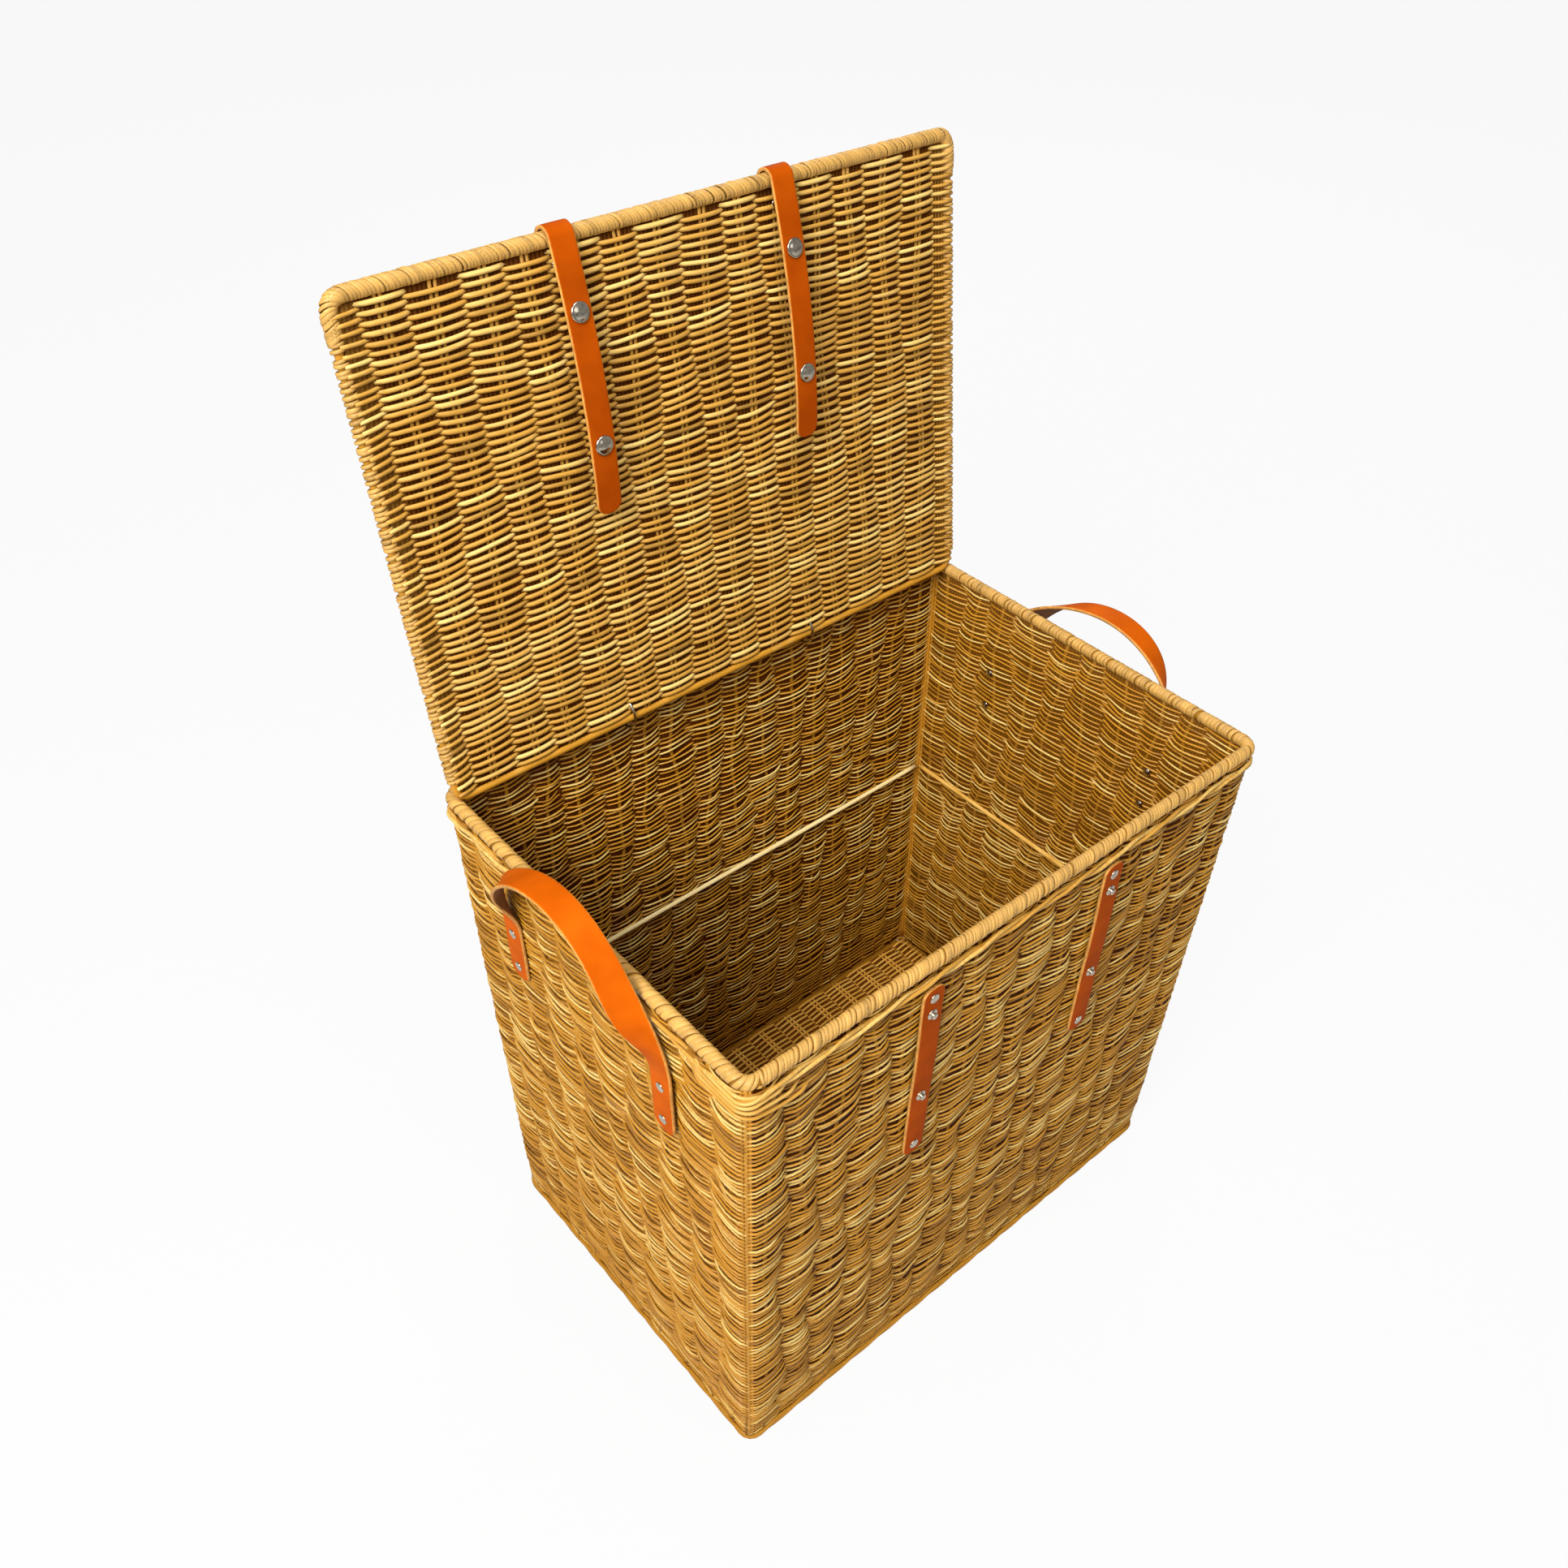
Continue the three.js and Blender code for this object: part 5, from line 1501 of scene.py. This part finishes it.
class BASKET_OT_tabs(bpy.types.Operator):
    """Cut the two tabs on the front wall"""

    bl_idname = "basket.tabs"
    bl_label = "Front Tabs"

    def execute(self, context):
        leather = context.scene.basket_leather
        for hand, place in STRAP_PLACES.items():
            piece = Piece()
            low, high = TAB_ENDS
            middle = np.linspace(low + TIP_END, high - TIP_END, 24)
            up = np.concatenate([low + TIP_STEPS, middle, high - TIP_STEPS[::-1]])
            upper, lower = SNAP_LEVELS
            between = np.clip((up - lower) / (upper - lower), 0, 1)
            belly = 0.7 * MM * np.sin(math.pi * between)
            centres = wall_place("front", place, up, LEATHER_MIDDLE + belly)
            normal = np.broadcast_to(wall_out("front"), centres.shape)
            strap(piece, centres, normal, leather.width, leather.thickness)
            piece.build(f"{hand}_tab", "basket", "leather", [f"tab_{hand}"], TAB_LEATHER)
        return {"FINISHED"}


def handle_path(hand):
    """A handle's strap from one riveted end over the arch to the other, with its grain."""
    lean = 1.0 if hand == "left" else -1.0
    turn = np.linspace(0, math.pi, 72)
    rise = HANDLE_RISES[hand] * np.sin(turn)
    twist = math.pi / 2 * ease(rise, 0.0, 1.16 * HANDLE_TWIST)
    out = LEATHER_MIDDLE + (HANDLE_CLEAR - LEATHER_MIDDLE) * np.sin(twist)
    along = HANDLE_HALF * np.cos(turn) + lean * HANDLE_SLUMP * np.sin(turn) ** 2
    arch = together(along, HANDLE_FLEX + rise, out)
    slope = unit(np.gradient(arch[:, :2], axis=0))
    away = np.stack([slope[:, 1], -slope[:, 0]], -1)
    grain = lifted(np.sin(twist)[:, None] * away, np.cos(twist))
    straight = np.linspace(HANDLE_TAIL + TIP_END, HANDLE_FLEX, 14, endpoint=False)
    low = np.concatenate([HANDLE_TAIL + TIP_STEPS, straight])
    start = together(HANDLE_HALF, low, LEATHER_MIDDLE)
    end = start[::-1] * np.array([-1.0, 1.0, 1.0])
    flat = np.broadcast_to(UP, start.shape)
    path = np.concatenate([start, arch, end])
    grains = np.concatenate([flat, grain, flat])
    return wall_place(hand, *path.T), wall_way(hand, *grains.T)


class BASKET_OT_handles(bpy.types.Operator):
    """Twist the two leather handles"""

    bl_idname = "basket.handles"
    bl_label = "Handles"

    def execute(self, context):
        leather = context.scene.basket_leather
        for hand in ("left", "right"):
            piece = Piece()
            centres, normals = handle_path(hand)
            strap(piece, centres, normals, leather.handle_width, leather.thickness)
            nodes = [f"handle_{hand}_{part}" for part in ("front_end", "rear_end", "arch")]
            made = piece.build(f"{hand}_handle", None, "leather", nodes, HANDLE_LEATHER)
            low = wall_place(hand, 0.0, HANDLE_FLEX - 4 * MM, LEATHER_MIDDLE)
            high = wall_place(hand, 0.0, HANDLE_FLEX + 4 * MM, LEATHER_MIDDLE)
            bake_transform(made)
        return {"FINISHED"}


# Fasteners, as radius and height steps from the leather's face outward, in millimetres

RIVET_HEAD = [
    (0.0, -0.3), (3.5, -0.3), (3.95, 0.1), (4.0, 0.45), (3.75, 0.85), (3.3, 1.0), (2.9, 0.85),
    (2.5, 0.6), (1.2, 0.55), (0.0, 0.55)]
RIVET_BACK = [
    (0.0, -0.2), (3.6, -0.2), (3.8, 0.2), (3.5, 0.6), (1.9, 0.75), (1.7, 1.1), (0.9, 1.25),
    (0.0, 1.28)]
SMALL_HEAD = [
    (0.0, -0.3), (2.8, -0.3), (3.15, 0.1), (3.2, 0.4), (2.9, 0.75), (2.1, 1.05), (1.0, 1.2),
    (0.0, 1.22)]
SMALL_BACK = [(0.0, -0.2), (2.9, -0.2), (3.1, 0.2), (2.8, 0.6), (1.2, 0.9), (0.0, 0.95)]
STUD = [
    (0.0, -0.3), (4.1, -0.3), (4.4, 0.0), (4.4, 0.35), (4.0, 0.75), (3.0, 0.8), (2.2, 1.0),
    (1.9, 1.6), (2.3, 2.2), (2.6, 2.6), (2.5, 3.0), (1.9, 3.3), (0.9, 3.4), (0.0, 3.4)]
CAP = [
    (0.0, -0.3), (6.6, -0.3), (6.95, 0.1), (7.0, 1.0), (6.85, 1.5), (6.4, 1.85), (5.9, 1.9),
    (5.6, 1.8), (4.9, 2.2), (3.8, 2.75), (2.6, 3.1), (1.3, 3.35), (0.0, 3.4)]
SOCKET_CUP = [
    (2.7, -0.2), (5.0, -0.2), (5.0, 2.4), (4.7, 3.1), (4.2, 3.5), (3.5, 3.55), (3.1, 3.2),
    (2.9, 2.6), (2.7, 1.2)]
TAB_FACE = LEATHER_MIDDLE + 1.25 * MM


def fasten(piece, profile, base, axis):
    """Adds a turned fastener at a point."""
    piece.turned(np.array(profile) * MM, base, axis)


def through_wall(piece, head, side, along, up):
    """A rivet or stud with its head on the leather and its washer inside the wall."""
    out = wall_out(side)
    fasten(piece, head, wall_place(side, along, up, TAB_FACE), out)
    fasten(piece, RIVET_BACK, wall_place(side, along, up, -WALL_FACE), -out)


class BASKET_OT_fasteners(bpy.types.Operator):
    """Set the rivets, studs and snap caps"""

    bl_idname = "basket.fasteners"
    bl_label = "Rivets and Snaps"

    def execute(self, context):
        half = context.scene.basket_leather.thickness / 2
        for hand, place in STRAP_PLACES.items():
            self.tab(hand, place)
            self.anchor(hand, place, half)
            self.caps(hand, place, half)
            self.handle(hand)
        return {"FINISHED"}

    def tab(self, hand, place):
        """Two rivets and two studs on a front tab."""
        piece = Piece()
        for head, levels in ((RIVET_HEAD, TAB_RIVET_LEVELS), (STUD, SNAP_LEVELS)):
            for up in levels:
                through_wall(piece, head, "front", place, up)
        parts = ("top_rivet", "upper_stud", "lower_stud", "bottom_rivet")
        piece.build(f"{hand}_tab_fasteners", "basket", "nickel",
                    [f"tab_{hand}_{part}" for part in parts], ["nickel"])

    def anchor(self, hand, place, half):
        """Two small rivets that hold a closing strap to the outside of the lid."""
        piece = Piece()
        share = (ANCHOR_RIVET - ANCHOR_START[0]) / (LID_FRONT - ANCHOR_START[0])
        face = ANCHOR_START[1] + share * (-BEND_RADIUS - ANCHOR_START[1])
        for step in (-ANCHOR_RIVET_STEP, ANCHOR_RIVET_STEP):
            outer = lid_place(place + step, ANCHOR_RIVET, face - half)
            fasten(piece, SMALL_HEAD, outer, -LID_INWARD)
            inner = lid_place(place + step, ANCHOR_RIVET, WALL_FACE)
            fasten(piece, SMALL_BACK, inner, LID_INWARD)
        piece.build(f"{hand}_strap_rivets", "lid", "nickel",
                    [f"strap_{hand}_outer_rivet", f"strap_{hand}_inner_rivet"], ["nickel"])

    def caps(self, hand, place, half):
        """Two snap caps on the hanging end, with their sockets behind."""
        piece = Piece()
        curve, grain = tongue_path(200)
        lengths = lengths_along(curve)
        for gone in TONGUE_CAPS:
            at = resample(curve, lengths, gone)
            way = resample(grain, lengths, gone)
            axis = lid_way(0.0, *way)
            fasten(piece, CAP, lid_place(place, *(at + way * half)), axis)
            fasten(piece, SOCKET_CUP, lid_place(place, *(at - way * half)), -axis)
        piece.build(f"{hand}_snap_caps", f"strap_{hand}", "nickel",
                    [f"strap_{hand}_upper_cap", f"strap_{hand}_lower_cap"], ["nickel"])

    def handle(self, hand):
        """Four rivets that hold a handle to its wall."""
        piece = Piece()
        nodes = []
        for end, along in (("front", 1), ("rear", -1)):
            for level, up in zip(("upper", "lower"), HANDLE_RIVET_LEVELS):
                through_wall(piece, RIVET_HEAD, hand, along * HANDLE_HALF, up)
                nodes.append(f"handle_{hand}_{end}_{level}_rivet")
        piece.build(f"{hand}_handle_rivets", "basket", "nickel", nodes, ["nickel"])


# Stage: where each lamp stands and how wide it is, in metres, and what they all face

LAMPS = {
    "key": ((-1.48, -0.60, 1.92), 0.95),
    "fill": ((-0.6, -2.6, 2.4), 1.6),
    "top": ((-0.15, -0.25, 2.3), 0.9),
    "back": ((2.3, 2.0, 2.1), 1.6),
}
LAMP_AIM = np.array([0.0, 0.0, 0.4])
WHITE = (1.0, 1.0, 1.0, 1.0)
SKY_COLOUR = (1.0, 0.985, 0.96, 1.0)
FLOOR_HALF = 6.0
FLOOR_WHITE = 0.92
SENSOR_WIDTH = 36.0


def placed(place, side, up, back):
    """The matrix of a lamp or camera, from its place and its own three directions."""
    turn = Matrix([list(row) for row in np.stack([side, up, back], 1)]).to_4x4()
    return Matrix.Translation(place) @ turn


class BASKET_OT_stage(bpy.types.Operator):
    """Set the floor, the light and the camera"""

    bl_idname = "basket.stage"
    bl_label = "Stage"

    def execute(self, context):
        stage = context.scene.basket_stage
        context.scene.view_settings.view_transform = "Standard"
        self.floor(context)
        self.sky(context, stage)
        for name, (place, size) in LAMPS.items():
            self.lamp(context, name, place, size, getattr(stage, name))
        self.camera(context, stage)
        return {"FINISHED"}

    def floor(self, context):
        """A pale floor that keeps the basket's shadow."""
        paint = Paint(bpy.data.materials.new("pale_floor"))
        place = paint.node("ShaderNodeTexCoord")["Object"]
        speckle = paint.noise(place, 30.0, 2.0)
        base = paint.mix(speckle, (0.62, 0.62, 0.62), (0.66, 0.66, 0.66))
        matt = paint.node("ShaderNodeBsdfPrincipled", {}, {
            "Base Color": base, "Roughness": 0.9, "Specular IOR Level": 0.1})["BSDF"]
        white = paint.node("ShaderNodeEmission", {}, {"Color": WHITE, "Strength": 1.0})
        seen = paint.node("ShaderNodeLightPath")["Is Camera Ray"]
        both = paint.node(
            "ShaderNodeMixShader", {}, {0: seen * FLOOR_WHITE, 1: matt, 2: white["Emission"]})
        paint.node("ShaderNodeOutputMaterial", {}, {"Surface": both["Shader"]})
        mesh = bpy.data.meshes.new("floor")
        corners = [(across * FLOOR_HALF, depth * FLOOR_HALF, 0)
                   for across, depth in ((-1, -1), (1, -1), (1, 1), (-1, 1))]
        mesh.from_pydata(corners, [], [(0, 1, 2, 3)])
        mesh.materials.append(paint.owner)
        floor = bpy.data.objects.new("floor", mesh)
        context.scene.collection.objects.link(floor)

    def sky(self, context, stage):
        """Even light, and plain white where the camera looks past the floor."""
        paint = Paint(bpy.data.worlds.new("studio"))
        context.scene.world = paint.owner
        path = paint.node("ShaderNodeLightPath")
        seen = paint.node(
            "ShaderNodeMath", {"operation": "MAXIMUM"},
            {0: path["Is Camera Ray"], 1: path["Is Transmission Ray"]})
        even = paint.node(
            "ShaderNodeBackground", {}, {"Color": SKY_COLOUR, "Strength": stage.sky})
        white = paint.node("ShaderNodeBackground", {}, {"Color": WHITE, "Strength": 1.0})
        both = paint.node(
            "ShaderNodeMixShader", {},
            {0: seen[0], 1: even["Background"], 2: white["Background"]})
        paint.node("ShaderNodeOutputWorld", {}, {"Surface": both["Shader"]})

    def lamp(self, context, name, place, size, power):
        """A soft square lamp turned to the basket."""
        data = bpy.data.lights.new(name, "AREA")
        data.shape = "SQUARE"
        data.size = size
        data.energy = power
        lamp = bpy.data.objects.new(name, data)
        back = unit(np.array(place) - LAMP_AIM)
        side = unit(np.cross(UP, back))
        lamp.matrix_world = placed(place, side, np.cross(back, side), back)
        context.scene.collection.objects.link(lamp)

    def camera(self, context, stage):
        """The photograph's view."""
        data = bpy.data.cameras.new("camera")
        data.sensor_width = SENSOR_WIDTH
        data.lens = stage.lens
        data.clip_start = 0.01
        camera = bpy.data.objects.new("camera", data)
        level = math.cos(stage.pitch)
        forward = np.array([math.sin(stage.yaw), math.cos(stage.yaw), 0.0])
        look = forward * level - UP * math.sin(stage.pitch)
        right = np.cross(forward, UP)
        up = np.cross(right, look)
        tipped = math.cos(stage.roll) * right + math.sin(stage.roll) * up
        upright = -math.sin(stage.roll) * right + math.cos(stage.roll) * up
        camera.matrix_world = placed(stage.place, tipped, upright, -look)
        context.scene.collection.objects.link(camera)
        context.scene.camera = camera


class BASKET_PT_panel(bpy.types.Panel):
    """Lists the basket's pieces and settings"""

    bl_idname = "BASKET_PT_panel"
    bl_label = "Woven Basket"
    bl_space_type = "VIEW_3D"
    bl_region_type = "UI"
    bl_category = "Basket"

    def draw(self, context):
        for operator in OPERATORS:
            self.layout.operator(operator.bl_idname)
        for name, group in GROUPS.items():
            box = self.layout.box()
            for key in group.__annotations__:
                box.prop(getattr(context.scene, name), key)


GROUPS = {
    "basket_weave": BasketWeave,
    "basket_lashing": BasketLashing,
    "basket_leather": BasketLeather,
    "basket_colours": BasketColours,
    "basket_stage": BasketStage,
}
OPERATORS = (
    BASKET_OT_stage,
    BASKET_OT_walls,
    BASKET_OT_base,
    BASKET_OT_mouth,
    BASKET_OT_rails,
    BASKET_OT_lid,
    BASKET_OT_rings,
    BASKET_OT_closing_straps,
    BASKET_OT_tabs,
    BASKET_OT_handles,
    BASKET_OT_fasteners,
)


def register():
    """Adds the settings, operators and panel."""
    for group in GROUPS.values():
        bpy.utils.register_class(group)
    for operator in OPERATORS:
        bpy.utils.register_class(operator)
    bpy.utils.register_class(BASKET_PT_panel)
    for name, group in GROUPS.items():
        setattr(bpy.types.Scene, name, PointerProperty(type=group))


def unregister():
    """Takes them away again."""
    for name in GROUPS:
        delattr(bpy.types.Scene, name)
    bpy.utils.unregister_class(BASKET_PT_panel)
    for operator in reversed(OPERATORS):
        bpy.utils.unregister_class(operator)
    for group in GROUPS.values():
        bpy.utils.unregister_class(group)


def main():
    """Builds the whole basket."""
    register()
    bpy.ops.basket.stage()
    bpy.ops.basket.walls()
    bpy.ops.basket.base()
    bpy.ops.basket.mouth()
    bpy.ops.basket.rails()
    bpy.ops.basket.lid()
    bpy.ops.basket.rings()
    bpy.ops.basket.closing_straps()
    bpy.ops.basket.tabs()
    bpy.ops.basket.handles()
    bpy.ops.basket.fasteners()
    bpy.context.view_layer.update()


if __name__ == "__main__":
    main()
